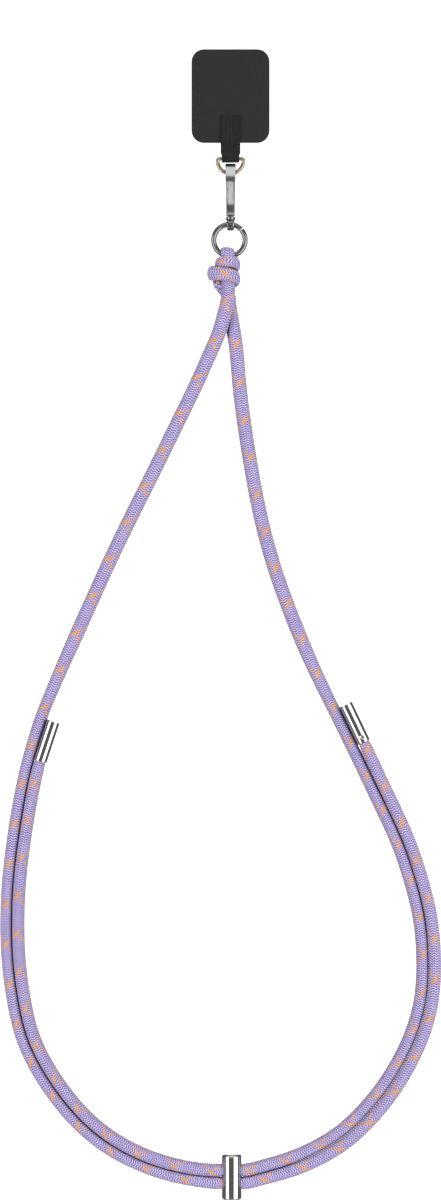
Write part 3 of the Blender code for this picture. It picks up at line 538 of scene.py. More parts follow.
outer_lane = lane(1, RIGHT_CAP_MOUTH[1])
inner_lane = lane(-1, RIGHT_LEG[-1][1])[::-1]
left_route = np.concatenate([LEFT_LEG, outer_lane[:-1], inside_cap(RIGHT_CAP_MOUTH, RIGHT_CAP_WAY)])
right_route = np.concatenate([RIGHT_LEG, inner_lane[:-1], inside_cap(LEFT_CAP_MOUTH, LEFT_CAP_WAY)])
print("places on the two routes:", len(left_route), len(right_route))


# %% One cord, from its route to its braid
def braid_mesh(name, path, out, wide, deep, u, lean, first_v):
    """The braid carried along a path, with u, half width, half depth and lean given row by row.

    v goes once round from first_v, and the middle of its first column faces the outward
    direction, turned on by lean, in turns. All but the mesh itself is in millimetres.
    """
    columns = COLUMNS * POINTS_A_COLUMN
    v = np.broadcast_to(first_v + np.arange(columns + 1) / columns, (len(path), columns + 1))
    u = np.broadcast_to(u[:, None], v.shape)
    angle = 0.25 - 0.5 / COLUMNS + lean[:, None] + v[:, :-1]
    lift = (braid_relief(u[:, :-1], v[:, :-1]) - MEAN_HEIGHT) * STITCH_HEIGHT
    grid = carried(path, out, wide, deep, columns, turns=angle, lift=lift)
    return grid_mesh(name, strap_top + grid * MM, uv=np.stack([u, v], axis=2), sharp=180.0)


def braided_cord(name, route, slider_index, rib, first_x, front):
    """The cord's path, length and mesh.

    The section is an ellipse whose half width (in the plane of the strap) and half depth follow
    a table by distance. u runs from first_x, the distance of the first crossing of the orange
    yarns, in steps of sixteen ribs. front is the angle at which they cross, in degrees from the
    side that faces -Y and positive to the right: a list of distances and one of angles.
    """
    at, place = smooth_line(route)
    even, path = evenly(place(np.linspace(0, at[-1], 6000)), rib / POINTS_A_COLUMN)
    slider = at[slider_index]
    pair = at[len(LEFT_LEG) - 2]
    mouth = at[-4]
    table = np.array([
        (0.0, 3.40, 3.35), (12.0, 3.50, 3.50), (pair - 45, 3.50, 3.50), (pair - 12, 3.10, 3.45),
        (pair + 12, 3.02, 3.45), (slider - 10, 3.02, 3.35), (slider - 6.2, 3.13, 3.10),
        (slider - 4.6, 2.75, 2.60), (slider - 3.8, 2.45, 2.45), (slider + 3.8, 2.45, 2.45),
        (slider + 4.6, 2.75, 2.60), (slider + 6.2, 3.13, 3.10), (slider + 10, 3.02, 3.35),
        (mouth - 4, 2.98, 3.20), (mouth - 0.3, 2.50, 2.55), (at[-1], 2.45, 2.45)])
    wide, deep = (np.interp(even, table[:, 0], table[:, k]) for k in (1, 2))
    u = (even - first_x) / (COLUMNS * rib)
    lean = np.interp(even, *front) / 360
    mesh = braid_mesh(name, path, (0.0, -1.0, 0.0), wide, deep, u, lean, 0.5 / COLUMNS)
    return strap_top + path * MM, even[-1] * MM, mesh


LEFT_RIB, RIGHT_RIB = 1.225, 1.15
LEFT_FIRST_X, RIGHT_FIRST_X = 23.5, 24.3
left_path, left_length, left_mesh = braided_cord(
    "braid_left", left_route, len(LEFT_LEG) + SLIDER_AT, LEFT_RIB, LEFT_FIRST_X,
    ([20, 230, 800], [-28, -6, 0]))
right_path, right_length, right_mesh = braided_cord(
    "braid_right", right_route, len(RIGHT_LEG) + len(RUN) - 1 - SLIDER_AT, RIGHT_RIB, RIGHT_FIRST_X,
    ([20, 230, 800], [10, 20, 10]))
braid_left = add_piece("braid_left", left_mesh, "strap", "cord", cord_finish, "cord_left")
braid_right = add_piece("braid_right", right_mesh, "strap", "cord", cord_finish, "cord_right")
print("cord lengths:", round(left_length, 3), round(right_length, 3), "m")

# %% [markdown]
# The knot is the same cord, pulled tight. It comes up from the left leg inside the wraps, goes over
# the ring's lowest wire, comes down behind it, wraps the whole bundle twice and leaves as the
# right leg. Where it is pulled tight it flattens, so its section is a lying ellipse whose flat
# side faces away from the knot's axis. The same braid is carried along it.

# %% The knot
# Across, back, up, half width, half thickness, in millimetres from the same place.
KNOT = np.array([
    (-0.4, -3.7, -20.9, 3.4, 3.35), (-0.2, -3.6, -17.0, 3.3, 3.2), (-0.4, -2.2, -12.0, 3.1, 2.4),
    (-0.5, -0.9, -7.0, 3.0, 2.0), (-0.5, -1.7, -3.5, 3.1, 1.8), (-0.5, -3.0, -0.4, 3.3, 1.35),
    (-0.5, -2.1, 2.0, 3.35, 1.25), (-0.5, 0.0, 2.9, 3.35, 1.25), (-0.5, 2.1, 2.0, 3.35, 1.25),
    (-0.6, 3.1, -0.4, 3.3, 1.5), (-1.5, 4.3, -2.3, 3.2, 1.7), (-4.1, 2.9, -3.2, 2.9, 1.7),
    (-4.9, -0.2, -4.0, 2.7, 1.8), (-3.5, -3.2, -3.7, 2.8, 1.75), (-0.3, -4.6, -3.3, 3.0, 1.8),
    (2.7, -3.2, -3.6, 3.0, 1.75), (4.0, 0.0, -4.4, 3.0, 1.7), (2.8, 3.2, -5.4, 3.0, 1.7),
    (-0.5, 4.5, -6.3, 3.0, 1.75), (-4.6, 3.9, -7.2, 3.1, 1.8), (-7.8, 1.4, -8.2, 3.4, 2.0),
    (-8.4, -1.3, -8.8, 3.5, 2.0), (-5.6, -4.1, -9.2, 3.3, 1.9), (-1.0, -5.2, -9.7, 3.2, 1.9),
    (2.6, -4.0, -10.5, 3.1, 1.8), (3.9, -0.6, -11.3, 3.1, 1.8), (2.8, 2.9, -12.1, 3.1, 1.8),
    (-0.4, 4.6, -12.5, 3.1, 1.8), (-3.6, 3.6, -12.7, 3.1, 2.2), (-4.9, 1.0, -13.3, 3.1, 2.8),
    (-3.5, 0.5, -15.1, 3.3, 3.0), (-1.3, 2.2, -17.3, 3.2, 2.9), (0.2, 3.7, -20.9, 3.4, 3.35),
])
KNOT_AXIS_X, KNOT_END_Z = -0.8, -19.7
KNOT_RIB = 1.15
CROSSING_AT = 13
LEG_STARTS, LEG_TURN = 1.7, 34.0


def knot_mesh():
    """The knot's cord: the outward direction at a place is its offset from the knot's upright
    axis, with the rise kept only above the ring's wire. The orange yarns cross on the outside
    at row CROSSING_AT, at the front of the first wrap.

    The pattern reads the same with u and v both taken from 1/16. So it meets the left leg's if, a
    distance LEG_STARTS along, u is 1/16 less the leg's first u, give or take whole turns, and the
    section is turned by LEG_TURN degrees. From there to the first wrap u grows evenly, and the
    turn fades out.
    """
    at, place = smooth_line(KNOT[:, :3])
    even, path = evenly(place(np.linspace(0, at[-1], 4000)), KNOT_RIB / POINTS_A_COLUMN)
    far = even[-1]
    chord_far = even * at[-1] / far
    wide, deep = (np.interp(chord_far, at, KNOT[:, k]) for k in (3, 4))
    inside = path[:, 2] > KNOT_END_Z
    even, path, wide, deep = even[inside], path[inside], wide[inside], deep[inside]
    out = path - np.array([KNOT_AXIS_X, 0.0, 0.0])
    out[:, 2] = np.maximum(out[:, 2], 0.0)
    first_x = at[CROSSING_AT] * far / at[-1]
    before = first_x - LEG_STARTS
    phase = 1 / COLUMNS + LEFT_FIRST_X / (COLUMNS * LEFT_RIB)
    turns_before = round(before / (COLUMNS * KNOT_RIB) + phase) - phase
    u = (even - first_x) * np.where(even < first_x, turns_before / before, 1 / (COLUMNS * KNOT_RIB))
    print("rib before the first wrap:", round(before / turns_before / COLUMNS, 2), "mm")
    lean = np.interp(even, [LEG_STARTS, first_x], [LEG_TURN / 360, 0.0])
    print("cord in the knot:", round(even[-1], 0), "mm")
    return braid_mesh("knot", path, out, wide, deep, u, lean, 0.0)


add_piece("knot", knot_mesh(), "strap", "cord", cord_finish, "cord_knot")

# %% [markdown]
# The metal comes in four finishes: pale gold wire for the D-ring, bright plated castings for the
# hook, black nickel for the cord ring and the turning eye, and mirror silver for the slider and
# the caps. Plating is never perfectly even, so each finish gets a faint waviness and a slight
# change of roughness, both read from the place in the object. The polish does the rest by
# reflecting the lights.


# %% Metal finishes
def metal(name, colour, roughness, wave, scratches, scale=350.0):
    """Plated metal: a slow noise for the waviness and a fine one for rubbed marks."""
    material, tree, shader = new_finish(name, colour, roughness, 1.0)
    place = object_place(tree)
    slow = noise(tree, place, scale)
    rubbed = noise(tree, place, scale * 12, detail=4.0, roughness=0.7)
    worn = maths(tree, "MULTIPLY_ADD", between(tree, rubbed, 0.45, 0.7), scratches, roughness)
    tree.links.new(worn, shader.inputs["Roughness"])
    raise_bump(tree, shader, maths(tree, "MULTIPLY_ADD", rubbed, 0.15, slow), wave, 0.5)
    return material


gold = metal("pale_gold_wire", (0.36, 0.29, 0.20), 0.26, 0.06 * MM, 0.10)
casting = metal("bright_plated_casting", (0.45, 0.45, 0.46), 0.14, 0.14 * MM, 0.10)
nickel = metal("black_nickel_wire", (0.19, 0.19, 0.195), 0.17, 0.05 * MM, 0.10)
silver = metal("mirror_silver", (0.56, 0.56, 0.565), 0.05, 0.012 * MM, 0.05)
print("metal finishes:", gold.name, casting.name, nickel.name, silver.name)


# %% Rings of wire
def arc(middle, radius, start, stop, count):
    """Points (x, 0, z) on an arc in the plane of the strap; angles in degrees from +X."""
    angle = np.radians(np.linspace(start, stop, count))
    return np.stack([middle[0] + radius * np.cos(angle), np.zeros(count),
                     middle[1] + radius * np.sin(angle)], axis=1)


RING_ACROSS, RING_WIRE, D_WIRE = 17.9, 2.6, 1.9
RING_CUT, CUT_GAP, RING_ROWS = 41, 0.3, 240
ring_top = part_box("cord_ring")[1][2] / MM
ring_radius = (RING_ACROSS - RING_WIRE) / 2
half_gap = math.degrees(CUT_GAP / 2 / ring_radius)
ring_path = arc((-0.5, ring_top - RING_ACROSS / 2), ring_radius, RING_CUT - half_gap,
                RING_CUT - 360 + half_gap, RING_ROWS)
from_cut = np.minimum(np.arange(RING_ROWS), np.arange(RING_ROWS)[::-1])
ring_half = RING_WIRE / 2 * np.sqrt(1 - np.clip(1 - (from_cut + 0.6) / 3.0, 0, 1) ** 2 * 0.35)
ring_mesh = grid_mesh("split_ring", carried(ring_path, (0, 1, 0), ring_half, ring_half, 48) * MM)
add_piece("split_ring", ring_mesh, "strap", "dark_nickel", nickel, "cord_ring")
print("cord ring:", RING_ACROSS, "mm across, cut at", RING_CUT, "degrees")

# %% [markdown]
# The D-ring is one bend of wire: a straight bar inside the webbing's fold, two tight corners and
# a round bow. Its path is three arcs and a straight line, and the wire's round section is carried
# along it without an end.

# %% The D-ring
BAR_Z, BOW_RADIUS, BOW_LIFT, CORNER = -5.2, 6.4, 0.8, 1.4
bow_z = BAR_Z - BOW_LIFT
reach = math.sqrt(BOW_RADIUS ** 2 - BOW_LIFT ** 2)
corner_x, corner_z = reach - CORNER, BAR_Z - CORNER
start = math.degrees(math.atan2(corner_z - bow_z, BOW_RADIUS))
bar_x = np.linspace(-corner_x, corner_x, 12)[1:-1]
d_corners = np.concatenate([
    arc((corner_x, corner_z), CORNER, 90, 15, 12),
    arc((0, bow_z), BOW_RADIUS, start - 8, -172 - start, 90),
    arc((-corner_x, corner_z), CORNER, 165, 90, 12),
    np.stack([bar_x, 0 * bar_x, np.full(len(bar_x), BAR_Z)], axis=1)])
d_far, d_path = evenly(np.concatenate([d_corners, d_corners[:1]]), 0.25)
d_grid = carried(d_path[:-1], (0, 1, 0), D_WIRE / 2, D_WIRE / 2, 40, closed=True)
d_mesh = grid_mesh("d_ring_wire", d_grid * MM, ends="joined")
add_piece("d_ring_wire", d_mesh, "anchor", "gold", gold, "d_ring")
print("wire in the D-ring:", round(d_far[-1], 1), "mm")

# %% [markdown]
# The tab is a strip of black webbing, folded over the D-ring's bar and sewn to both faces of the
# patch. Webbing is a flat section with soft edges, so it is a superellipse with a high exponent
# carried down one ply, round the bar and up the other. Its UV map counts millimetres, so that the
# weave keeps its size round the fold.

# %% The webbing tab
PLY, PLY_GAP, TAB_WIDTH, FOLD_WIDTH = 0.7, 0.3, 9.6, 8.5
PATCH_THICKNESS, TAB_TOP, TAB_COLUMNS = 0.8, 15.5, 64
FOLD_RADIUS = D_WIRE / 2 + PLY_GAP + PLY / 2
PLY_OFFSET = PATCH_THICKNESS / 2 + PLY_GAP + PLY / 2
fold = np.radians(np.linspace(35, -90, 24))
down = [(0, PLY_OFFSET, TAB_TOP), (0, PLY_OFFSET, 9.0), (0, PLY_OFFSET, 3.0),
        (0, 0.62, 0.6), (0, 0.53, -1.6), (0, 0.62, -3.2)]
round_bar = np.stack([0 * fold, FOLD_RADIUS * np.cos(fold), BAR_Z + FOLD_RADIUS * np.sin(fold)], axis=1)
one_side = np.concatenate([down, round_bar])
at, place = smooth_line(np.concatenate([one_side, (one_side * (1, -1, 1))[-2::-1]]))
tab_far, tab_path = evenly(place(np.linspace(0, at[-1], 2000)), 0.3)
share = np.clip((tab_path[:, 2] + 3.6) / 1.2, 0, 1)
half = (FOLD_WIDTH + (TAB_WIDTH - FOLD_WIDTH) * share * share * (3 - 2 * share)) / 2
from_bar = tab_path - np.array([0.0, 0.0, BAR_Z])
out = np.stack([0 * share, from_bar[:, 1], np.minimum(from_bar[:, 2], 0) + 1e-6], axis=1)
tab_grid = carried(tab_path, out, half, PLY / 2, TAB_COLUMNS, power=5.0)
v = half[:, None] * np.cos(2 * math.pi * np.arange(TAB_COLUMNS + 1) / TAB_COLUMNS)
u = np.broadcast_to(tab_far[:, None], v.shape)
tab_mesh = grid_mesh("webbing_tab", tab_grid * MM, uv=np.stack([u, v], axis=2), sharp=60.0)

webbing, tree, shader = new_finish("black_webbing", (0.006, 0.006, 0.007), 0.7)
shader.inputs["Specular IOR Level"].default_value = 0.25
shader.inputs["Sheen Weight"].default_value = 0.05
PICK, END = 0.55, 0.42
along_tab, across_tab, _ = uv_place(tree)
warp = ripple(tree, across_tab, END)
step = maths(tree, "MULTIPLY", maths(tree, "ROUND", maths(tree, "DIVIDE", across_tab, END)), 0.5)
weft = ripple(tree, maths(tree, "ADD", maths(tree, "DIVIDE", along_tab, PICK), step), 1.0)
cloth = maths(tree, "MULTIPLY_ADD", warp, 0.5, weft)
shade = between(tree, cloth, -1.4, 1.4)
tree.links.new(blend_colour(tree, shade, (0.002, 0.002, 0.0025), (0.014, 0.014, 0.016)),
               shader.inputs["Base Color"])
raise_bump(tree, shader, cloth, 0.10 * MM, 0.8)
add_piece("webbing_tab", tab_mesh, "anchor", "webbing", webbing, "anchor_tab")

# %% [markdown]
# The patch lies out of sight when the strap is in use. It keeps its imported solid, and gets a fine
# coated cloth: two crossed waves, half a millimetre long.

# %% The patch
patch_finish, tree, shader = new_finish("coated_patch_cloth", (0.008, 0.008, 0.009), 0.55)
shader.inputs["Specular IOR Level"].default_value = 0.3
THREAD = 0.5 * MM
across, _, upward = split_place(tree, object_place(tree))
cloth = maths(tree, "MULTIPLY", ripple(tree, across, THREAD), ripple(tree, upward, THREAD))
shade = between(tree, cloth, -1, 1)
tree.links.new(blend_colour(tree, shade, (0.005, 0.005, 0.006), (0.012, 0.012, 0.014)),
               shader.inputs["Base Color"])
raise_bump(tree, shader, cloth, 0.05 * MM, 0.5)
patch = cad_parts["anchor_patch"]
patch.data.materials.clear()
patch.data.materials.append(patch_finish)
print("patch finished")

# %% [markdown]
# The hook and its gate are cast flat, so each is an outline seen from the side, as thick as a
# finger-nail is wide, with rounded edges. The outline is a list of corners with a radius each. It
# is carried across the width, and drawn in a little near both faces, which rounds the edges.


# %% An outline with rounded corners, carried across a width
def rounded_outline(corners, radii, count=7):
    """Each corner B of the outline becomes a curve from A to C, the places one radius away on its
    two edges: (1-t)^2 A + 2 t (1-t) B + t^2 C, for t from 0 to 1."""
    corners = np.asarray(corners, float)
    before = np.roll(corners, 1, axis=0) - corners
    after = np.roll(corners, -1, axis=0) - corners
    long_before = np.linalg.norm(before, axis=1, keepdims=True)
    long_after = np.linalg.norm(after, axis=1, keepdims=True)
    size = np.minimum(np.asarray(radii, float)[:, None], 0.45 * np.minimum(long_before, long_after))
    a = (corners + before / long_before * size)[:, None]
    c = (corners + after / long_after * size)[:, None]
    t = np.linspace(0, 1, count)[None, :, None]
    return ((1 - t) ** 2 * a + 2 * t * (1 - t) * corners[:, None] + t ** 2 * c).reshape(-1, 2)


def slab(outline, low_x, high_x, edge, taper=None, bands=5):
    """A grid for an outline (y, z) carried from low_x to high_x.

    Near both faces the outline shrinks along its normals by edge (1 - cos a) while x keeps
    edge (1 - sin a) away from the face, for a from 0 to 90 degrees: a quarter round. taper gives
    a factor on x for each z.
    """
    tangent = np.roll(outline, -1, axis=0) - np.roll(outline, 1, axis=0)
    tangent /= np.linalg.norm(tangent, axis=1, keepdims=True)
    normal = np.stack([tangent[:, 1], -tangent[:, 0]], axis=1)
    y, z = outline.T
    normal *= np.sign((y * np.roll(z, -1) - np.roll(y, -1) * z).sum())
    angle = np.radians(np.linspace(90, 0, bands))
    inset, shrink = edge * (1 - np.sin(angle)), edge * (1 - np.cos(angle))
    shrink = np.concatenate([shrink, shrink[::-1]])
    x = np.concatenate([low_x + inset, high_x - inset[::-1]])
    flat = outline[None] - normal[None] * shrink[:, None, None]
    factor = np.ones(flat.shape[:2]) if taper is None else taper(flat[..., 1])
    return np.stack([x[:, None] * factor, flat[..., 0], flat[..., 1]], axis=2)


square = rounded_outline([(0, 0), (1, 0), (1, 1), (0, 1)], [0.2] * 4)
print("a rounded square of", len(square), "points")

# %% [markdown]
# The hook hangs on the D-ring's bow by its crown. In front the crown goes down as the spine, a
# plain flat bar, to a base with a hole for the turning eye's post. Behind, it ends in a short
# nose, and two ears at the back of the base carry the gate.

# %% The hook
TOP, BASE, FLOOR, HALF_DEPTH = -7.617, -33.417, -30.217, 6.2
PIVOT_Y, PIVOT_Z = 4.2, -29.917
CROWN_RISE, THROAT_RISE, THROAT_Z = 10.1, 5.6, -16.117
crown_z = TOP - CROWN_RISE
nose_z = TOP - 10.3
CROWN_WIDTH, BASE_WIDTH, SLAB_EDGE = 5.1, 4.3, 0.25


def bow(middle, radius_y, radius_z, start, stop, count):
    """Points (y, z) on an ellipse, from one angle to another, in degrees from the back."""
    angle = np.radians(np.linspace(start, stop, count))
    return np.asarray(middle) + np.stack([radius_y * np.cos(angle), radius_z * np.sin(angle)], axis=1)


def hook_taper(z):
    """The casting narrows in a straight line from the crown to the base."""
    share = np.clip((TOP - z) / (TOP - BASE), 0, 1)
    return (CROWN_WIDTH + (BASE_WIDTH - CROWN_WIDTH) * share) / CROWN_WIDTH


crown_outside = bow((0, crown_z), HALF_DEPTH, CROWN_RISE, 0, 180, 72)
crown_inside = bow((-0.1, THROAT_Z), 4.0, THROAT_RISE, 180, 0, 44)
spine = rounded_outline(
    [(-HALF_DEPTH, crown_z), (-5.66, -28.3), (-5.25, -30.6), (-4.7, -32.2), (-3.84, BASE), (2.6, BASE),
     (2.3, FLOOR), (-2.86, FLOOR), (-3.6, -28.3), (-4.1, -21.8), (-4.1, THROAT_Z)],
    [0, 3, 2, 1.5, 0.8, 0.5, 0.3, 1.2, 3, 5, 0])
nose = rounded_outline([(3.9, THROAT_Z), (3.9, nose_z), (HALF_DEPTH, nose_z), (HALF_DEPTH, crown_z)],
                       [0, 0.35, 0.7, 0])
hook_outline = np.concatenate([crown_outside, spine[7:-7], crown_inside, nose[7:-7]])
hook_slab = slab(hook_outline, -CROWN_WIDTH / 2, CROWN_WIDTH / 2, SLAB_EDGE, hook_taper)
body = grid_mesh("hook_frame", hook_slab * MM)
ear_outline = rounded_outline(
    [(6.1, PIVOT_Z + 1.9), (2.2, PIVOT_Z + 1.9), (1.6, FLOOR - 0.3), (1.6, BASE), (3.5, BASE),
     (6.1, PIVOT_Z - 1.6)], [1.7, 1.6, 0.4, 0.3, 1.4, 1.6])
ears = [grid_mesh("hook_ear", slab(ear_outline, low, low + 1.01, SLAB_EDGE) * MM)
        for low in (-2.16, 1.15)]
add_piece("snap_hook", joined(body, *ears), "anchor", "bright_metal", casting, "clasp_body")

# %% [markdown]
# The gate is a small lever inside the nose. A spring in its pivot keeps it shut, and the thumb
# pushes its tab inwards. It moves with its own body, so it is a piece of its own, and so is the pin.

# %% The gate and its pin
FACE, PLATE = PIVOT_Y + 0.63, 1.4
gate_outline = rounded_outline(
    [(2.48, -16.72), (3.6, -16.72), (3.6, -18.22), (FACE, -19.06), (FACE, -21.9),
     (FACE + 1.26, -23.58), (FACE + 2.66, -24.28), (FACE + 2.8, -25.03), (FACE + 2.0, -25.48),
     (FACE, -25.3), (FACE, -27.46), (FACE - PLATE, -27.46), (FACE - PLATE, -23.3), (2.06, -18.22)],
    [0.4, 0.4, 0.5, 0.8, 1.2, 1.0, 0.5, 0.4, 0.5, 0.5, 0.3, 0.3, 2.0, 1.5])
plate = grid_mesh("gate_plate", slab(gate_outline, -2.1, 2.1, 0.3) * MM)
knuckle_outline = rounded_outline(
    [(FACE, -26.6), (FACE + 0.7, PIVOT_Z), (FACE + 0.4, PIVOT_Z - 1.4), (PIVOT_Y - 1.1, PIVOT_Z - 1.4),
     (PIVOT_Y - 1.4, PIVOT_Z + 0.4), (FACE - PLATE, -26.6)], [0.3, 1.0, 1.0, 1.0, 0.8, 0.3])
knuckle = grid_mesh("gate_knuckle", slab(knuckle_outline, -0.85, 0.85, 0.15) * MM)
add_piece("hook_gate", joined(plate, knuckle), "gate", "bright_metal", casting, "clasp_gate")
pin_outline = bow((PIVOT_Y, PIVOT_Z), 0.55, 0.55, 0, 345, 24)
pin_mesh = grid_mesh("gate_pin", slab(pin_outline, -1.8, 1.8, 0.1) * MM)
add_piece("gate_pin", pin_mesh, "anchor", "bright_metal", casting, "clasp_pin")

# %% [markdown]
# Turned pieces are a profile spun about an axis: the post of the eye with its collar, the end
# caps, and the barrel slider. The profile is a list of radii and heights with rounded corners.

# %% Profiles spun about an axis
AXIS = 0.02  # a radius just short of nothing, so that a profile's end face keeps its corners


def spun(profile, middle, way, columns, dent=None):
    """A grid for a profile of (radius, height) about an axis through middle along way.

    At turn t and height h the point is M + h W + r (cos t A + sin t B), with A and B square to W,
    and B the one nearer the front. dent takes the grid of radii, heights and turns and gives
    new radii.
    """
    way = np.asarray(way, float) / np.linalg.norm(way)
    front = square_to(np.array([[0.0, -1.0, 0.0]]), way[None])[0]
    side = np.cross(front, way)
    radius = np.repeat(profile[:, :1], columns, axis=1)
    height = np.repeat(profile[:, 1:], columns, axis=1)
    turn = np.broadcast_to(np.arange(columns) / columns * 2 * math.pi, radius.shape)
    if dent is not None:
        radius = dent(radius, height, turn)
    return (np.asarray(middle, float) + height[..., None] * way
            + radius[..., None] * (np.cos(turn)[..., None] * side + np.sin(turn)[..., None] * front))


def rounded_profile(points, radii, count=6):
    """The open form of a rounded outline: its first and last points stay sharp."""
    line = rounded_outline(points, radii, count)
    return np.concatenate([[points[0]], line[count:-count], [points[-1]]])


print("spun profiles ready")

# %% The turning eye
EYE_TOP, COLLAR_TOP, HEAD_Z, POST_TOP = -35.017, -33.717, -29.917, -29.02
COLLAR, NECK, HEAD = 2.3, 1.05, 1.65
post = rounded_profile(
    [(AXIS, EYE_TOP - 0.9), (1.5, EYE_TOP - 0.9), (COLLAR, EYE_TOP + 0.1), (COLLAR, COLLAR_TOP),
     (NECK, COLLAR_TOP), (NECK, HEAD_Z), (HEAD, HEAD_Z), (HEAD, -29.2), (1.1, POST_TOP),
     (AXIS, POST_TOP)],
    [0, 0.2, 0.35, 0.3, 0.08, 0.08, 0.1, 0.25, 0.2, 0])
post_mesh = grid_mesh("eye_post", spun(post, (0, 0, 0), (0, 0, 1), 64) * MM)
EYE_Z, EYE_HOLE_Y, EYE_HOLE_Z, EYE_BAR = -37.380, 1.825, 1.8136, 1.1
angle = np.linspace(0, 2 * math.pi, 96, endpoint=False)
eye_path = np.stack([0 * angle, (EYE_HOLE_Y + EYE_BAR / 2) * np.cos(angle),
                     EYE_Z + (EYE_HOLE_Z + EYE_BAR / 2) * np.sin(angle)], axis=1)
eye_out = eye_path - np.array([0, 0, EYE_Z])
eye_wide = 1.7 + 0.35 * np.clip(np.sin(angle), 0, 1) ** 2
eye_grid = carried(eye_path, eye_out, eye_wide, EYE_BAR / 2, 40, power=3.2, closed=True)
eye_mesh = joined(post_mesh, grid_mesh("eye_loop", eye_grid * MM, ends="joined"))
add_piece("turning_eye", eye_mesh, "strap", "dark_nickel", nickel, "clasp_swivel")

# %% [markdown]
# An end cap is a cup crimped over the cut end of the cord. The crimp is a single round dimple,
# pressed in near the mouth. It is part of the profile's radius: inside a small circle on the
# surface the radius drops like a shallow ball.

# %% The end caps
CAP_RADIUS, CAP_HOLE, CAP_FLOOR, CAP_ROWS = 3.3, 2.7, 19.3, 90
DIMPLE_RADIUS, DIMPLE_DEPTH, DIMPLE_AT = 1.2, 0.42, 2.9


def crimped(radius, height, turn, side):
    """Radius less depth times (1 - (p / R)^2)^1.5 within R of the dimple's middle, on the outside.

    p is the distance on the surface, from the height and the arc to the dimple's turn.
    """
    arc_far = CAP_RADIUS * (np.mod(turn - side + math.pi, 2 * math.pi) - math.pi)
    p = np.hypot(height - DIMPLE_AT, arc_far) / DIMPLE_RADIUS
    depth = DIMPLE_DEPTH * np.clip(1 - p * p, 0, 1) ** 1.5
    return np.where(radius > 3.0, radius - depth, radius)


def cap_mesh(name, mouth, way, side):
    """A cup from its closed inside over the lip at its mouth to its closed end, with the dimple
    at the turn side."""
    wall = np.linspace(0.5, CAP_LENGTH - 0.8, CAP_ROWS)
    outside = np.stack([np.full(CAP_ROWS, CAP_RADIUS), wall], axis=1)
    lip = rounded_profile([(AXIS, CAP_FLOOR), (CAP_HOLE, CAP_FLOOR), (CAP_HOLE, 0.0), (CAP_RADIUS, 0.0),
                           (CAP_RADIUS, wall[0])], [0, 0.3, 0.18, 0.25, 0])
    top = rounded_profile([(CAP_RADIUS, wall[-1]), (CAP_RADIUS, CAP_LENGTH), (AXIS, CAP_LENGTH)],
                          [0, 0.55, 0])
    profile = np.concatenate([lip[:-1], outside, top[1:]])
    grid = spun(profile, mouth, way, 120, lambda r, h, t: crimped(r, h, t, side))
    return grid_mesh(name, strap_top + grid * MM, sharp=35.0)


FRONT, BACK = math.pi / 2, -math.pi / 2
cap_left, cap_right = (
    add_piece(name, cap_mesh(name, mouth, way, side), "strap", "polished_metal", silver, node)
    for name, mouth, way, side, node in (
        ("cap_left", LEFT_CAP_MOUTH, LEFT_CAP_WAY, BACK, "end_cap_left"),
        ("cap_right", RIGHT_CAP_MOUTH, RIGHT_CAP_WAY, FRONT, "end_cap_right")))

# %% [markdown]
# The slider is a solid barrel with two cross holes, one for each lane of the cord, and it grips
# them by friction. Holes that meet a round wall are a job for a Boolean: two flared plugs are
# taken out of the barrel, which also leaves the small chamfer at each mouth.

# %% The slider
SLIDER_RADIUS, SLIDER_HALF, SLIDER_EDGE = 4.9, 11.2, 1.6
HOLE_RADIUS, FLARE_RADIUS = 2.7, 3.3
middle = slider_middle / MM
barrel = rounded_profile(
    [(AXIS, -SLIDER_HALF), (SLIDER_RADIUS, -SLIDER_HALF), (SLIDER_RADIUS, -4), (SLIDER_RADIUS, 4),
     (SLIDER_RADIUS, SLIDER_HALF), (AXIS, SLIDER_HALF)], [0, SLIDER_EDGE, 0.1, 0.1, SLIDER_EDGE, 0], 14)
slider_mesh = grid_mesh("slider_barrel", spun(barrel, middle, (0, 0, 1), 160) * MM)
slider = add_piece("barrel_slider", slider_mesh, "strap", "polished_metal", silver, "slider")
plugs = []
flare = np.array([(FLARE_RADIUS, -5.8), (HOLE_RADIUS, -4.5), (HOLE_RADIUS, 4.5), (FLARE_RADIUS, 5.8)])
for height in (-HOLE_SPACING / 2, HOLE_SPACING / 2):
    plug_grid = spun(flare, middle + (0, 0, height), (1, 0, 0), 96)
    plug = new_object("plug", grid_mesh("plug", plug_grid * MM))
    hole = slider.modifiers.new("hole", "BOOLEAN")
    hole.operation, hole.solver, hole.object = "DIFFERENCE", "EXACT", plug
    plugs.append(plug)
drilled = bpy.data.meshes.new_from_object(slider.evaluated_get(bpy.context.evaluated_depsgraph_get()))
slider.modifiers.clear()
slider.data = drilled
drilled.shade_smooth()
drilled.set_sharp_from_angle(angle=math.radians(30))
for plug in plugs:
    bpy.data.objects.remove(plug)
print("slider drilled:", len(drilled.polygons), "faces")

# %% [markdown]
# A plain studio: a wide pale floor well below the strap, and far behind it a sheet of white paper
# that is lit from within, as a light table is, so that it stays an even white. Both stand clear
# of the strap on all sides, so it can be looked at from the back too.

# %% Floor and backdrop
FLOOR_Z, FLOOR_FRONT, BACKDROP_Y, BACKDROP_TOP = -1.35, -3.0, 3.0, 1.4
HALF_WIDTH = 1.9


def sheet(name, one_edge, other_edge, finish):
    """A flat face between two edges, each given as (y, z), for the studio; it rides on no body."""
    corners = [(x, *one_edge) for x in (-HALF_WIDTH, HALF_WIDTH)]
    corners += [(x, *other_edge) for x in (HALF_WIDTH, -HALF_WIDTH)]
    mesh = bpy.data.meshes.new(name)
    mesh.from_pydata(corners, [], [(0, 1, 2, 3)])
    mesh.materials.append(finish)
    new_object(name, mesh)


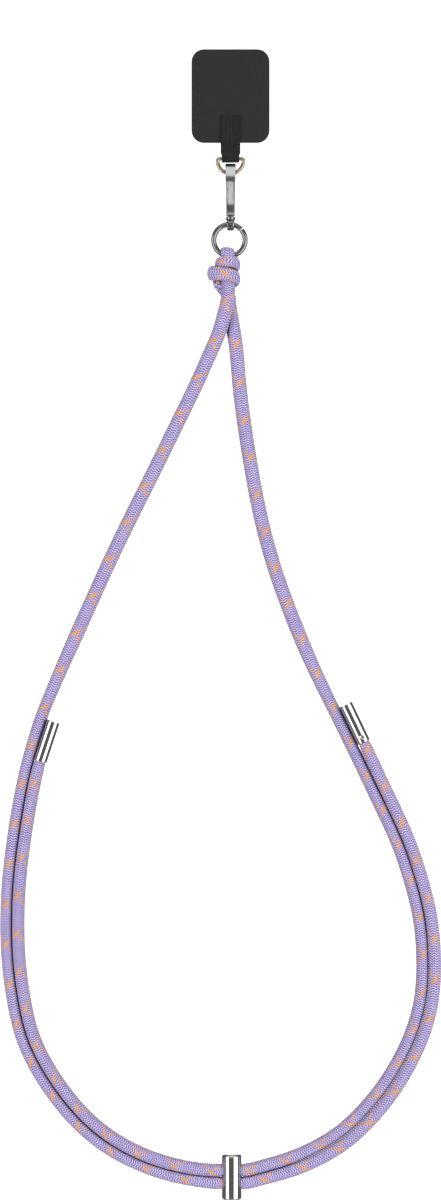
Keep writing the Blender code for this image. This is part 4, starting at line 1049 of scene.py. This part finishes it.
floor_paper = new_finish("floor_paper", (0.88, 0.88, 0.88), 0.9)[0]
white_paper, tree, shader = new_finish("backdrop_paper", (0.9, 0.9, 0.9), 0.9)
shader.inputs["Emission Color"].default_value = (1.0, 1.0, 1.0, 1.0)
shader.inputs["Emission Strength"].default_value = 1.0
sheet("floor", (FLOOR_FRONT, FLOOR_Z), (BACKDROP_Y, FLOOR_Z), floor_paper)
sheet("backdrop", (BACKDROP_Y, FLOOR_Z), (BACKDROP_Y, BACKDROP_TOP), white_paper)
print("floor at", FLOOR_Z, "m, backdrop", BACKDROP_Y, "m behind")

# %% [markdown]
# Polished metal shows its surroundings, so the lights are laid out by what it should show. A
# point of an upright cylinder whose normal is turned by an angle from the camera reflects what
# stands at twice that angle. The white bands of the slider therefore ask for one tall soft light
# 52 degrees round to the left and a wider one 47 degrees to the right, with darkness between
# them. A large dimmer light overhead fills the tops, and a faint card above the camera gives the
# hook's flat front its even grey. The lights are hidden from the camera, but not from the metal.

# %% Lights
def softbox(name, place, target, size, power):
    """A rectangular light that looks at a target."""
    data = bpy.data.lights.new(name, "AREA")
    data.shape = "RECTANGLE"
    data.size, data.size_y = size
    data.energy = power
    lamp = new_object(name, data)
    lamp.location = place
    way = np.array(target, float) - np.array(place, float)
    flat = math.hypot(way[0], way[1])
    lamp.rotation_euler = (math.atan2(flat, -way[2]), 0.0, math.atan2(-way[0], way[1]))
    lamp.visible_camera = False


def beside(turn, distance, z):
    """The place at a turn in degrees round the strap, from the camera's side to the right."""
    return (distance * math.sin(math.radians(turn)), -distance * math.cos(math.radians(turn)), z)


softbox("tall_left", beside(-52, 1.2, -0.3), (0, 0, -0.3), (0.70, 1.4), 11.5)
softbox("tall_right", beside(47, 1.2, -0.3), (0, 0, -0.3), (0.95, 1.4), 15.5)
softbox("overhead", (0.0, -0.75, 1.1), (0, 0, -0.2), (1.8, 1.3), 9.0)
softbox("card", (0.0, -1.45, 0.06), (0, 0, -0.03), (0.5, 0.36), 0.66)

world = bpy.data.worlds.new("surround")
world.use_nodes = True
background = world.node_tree.nodes["Background"]
background.inputs["Color"].default_value = (1.0, 1.0, 1.0, 1.0)
background.inputs["Strength"].default_value = 0.16
bpy.context.scene.world = world
bpy.context.scene.view_settings.view_transform = "Standard"
print("lights set")
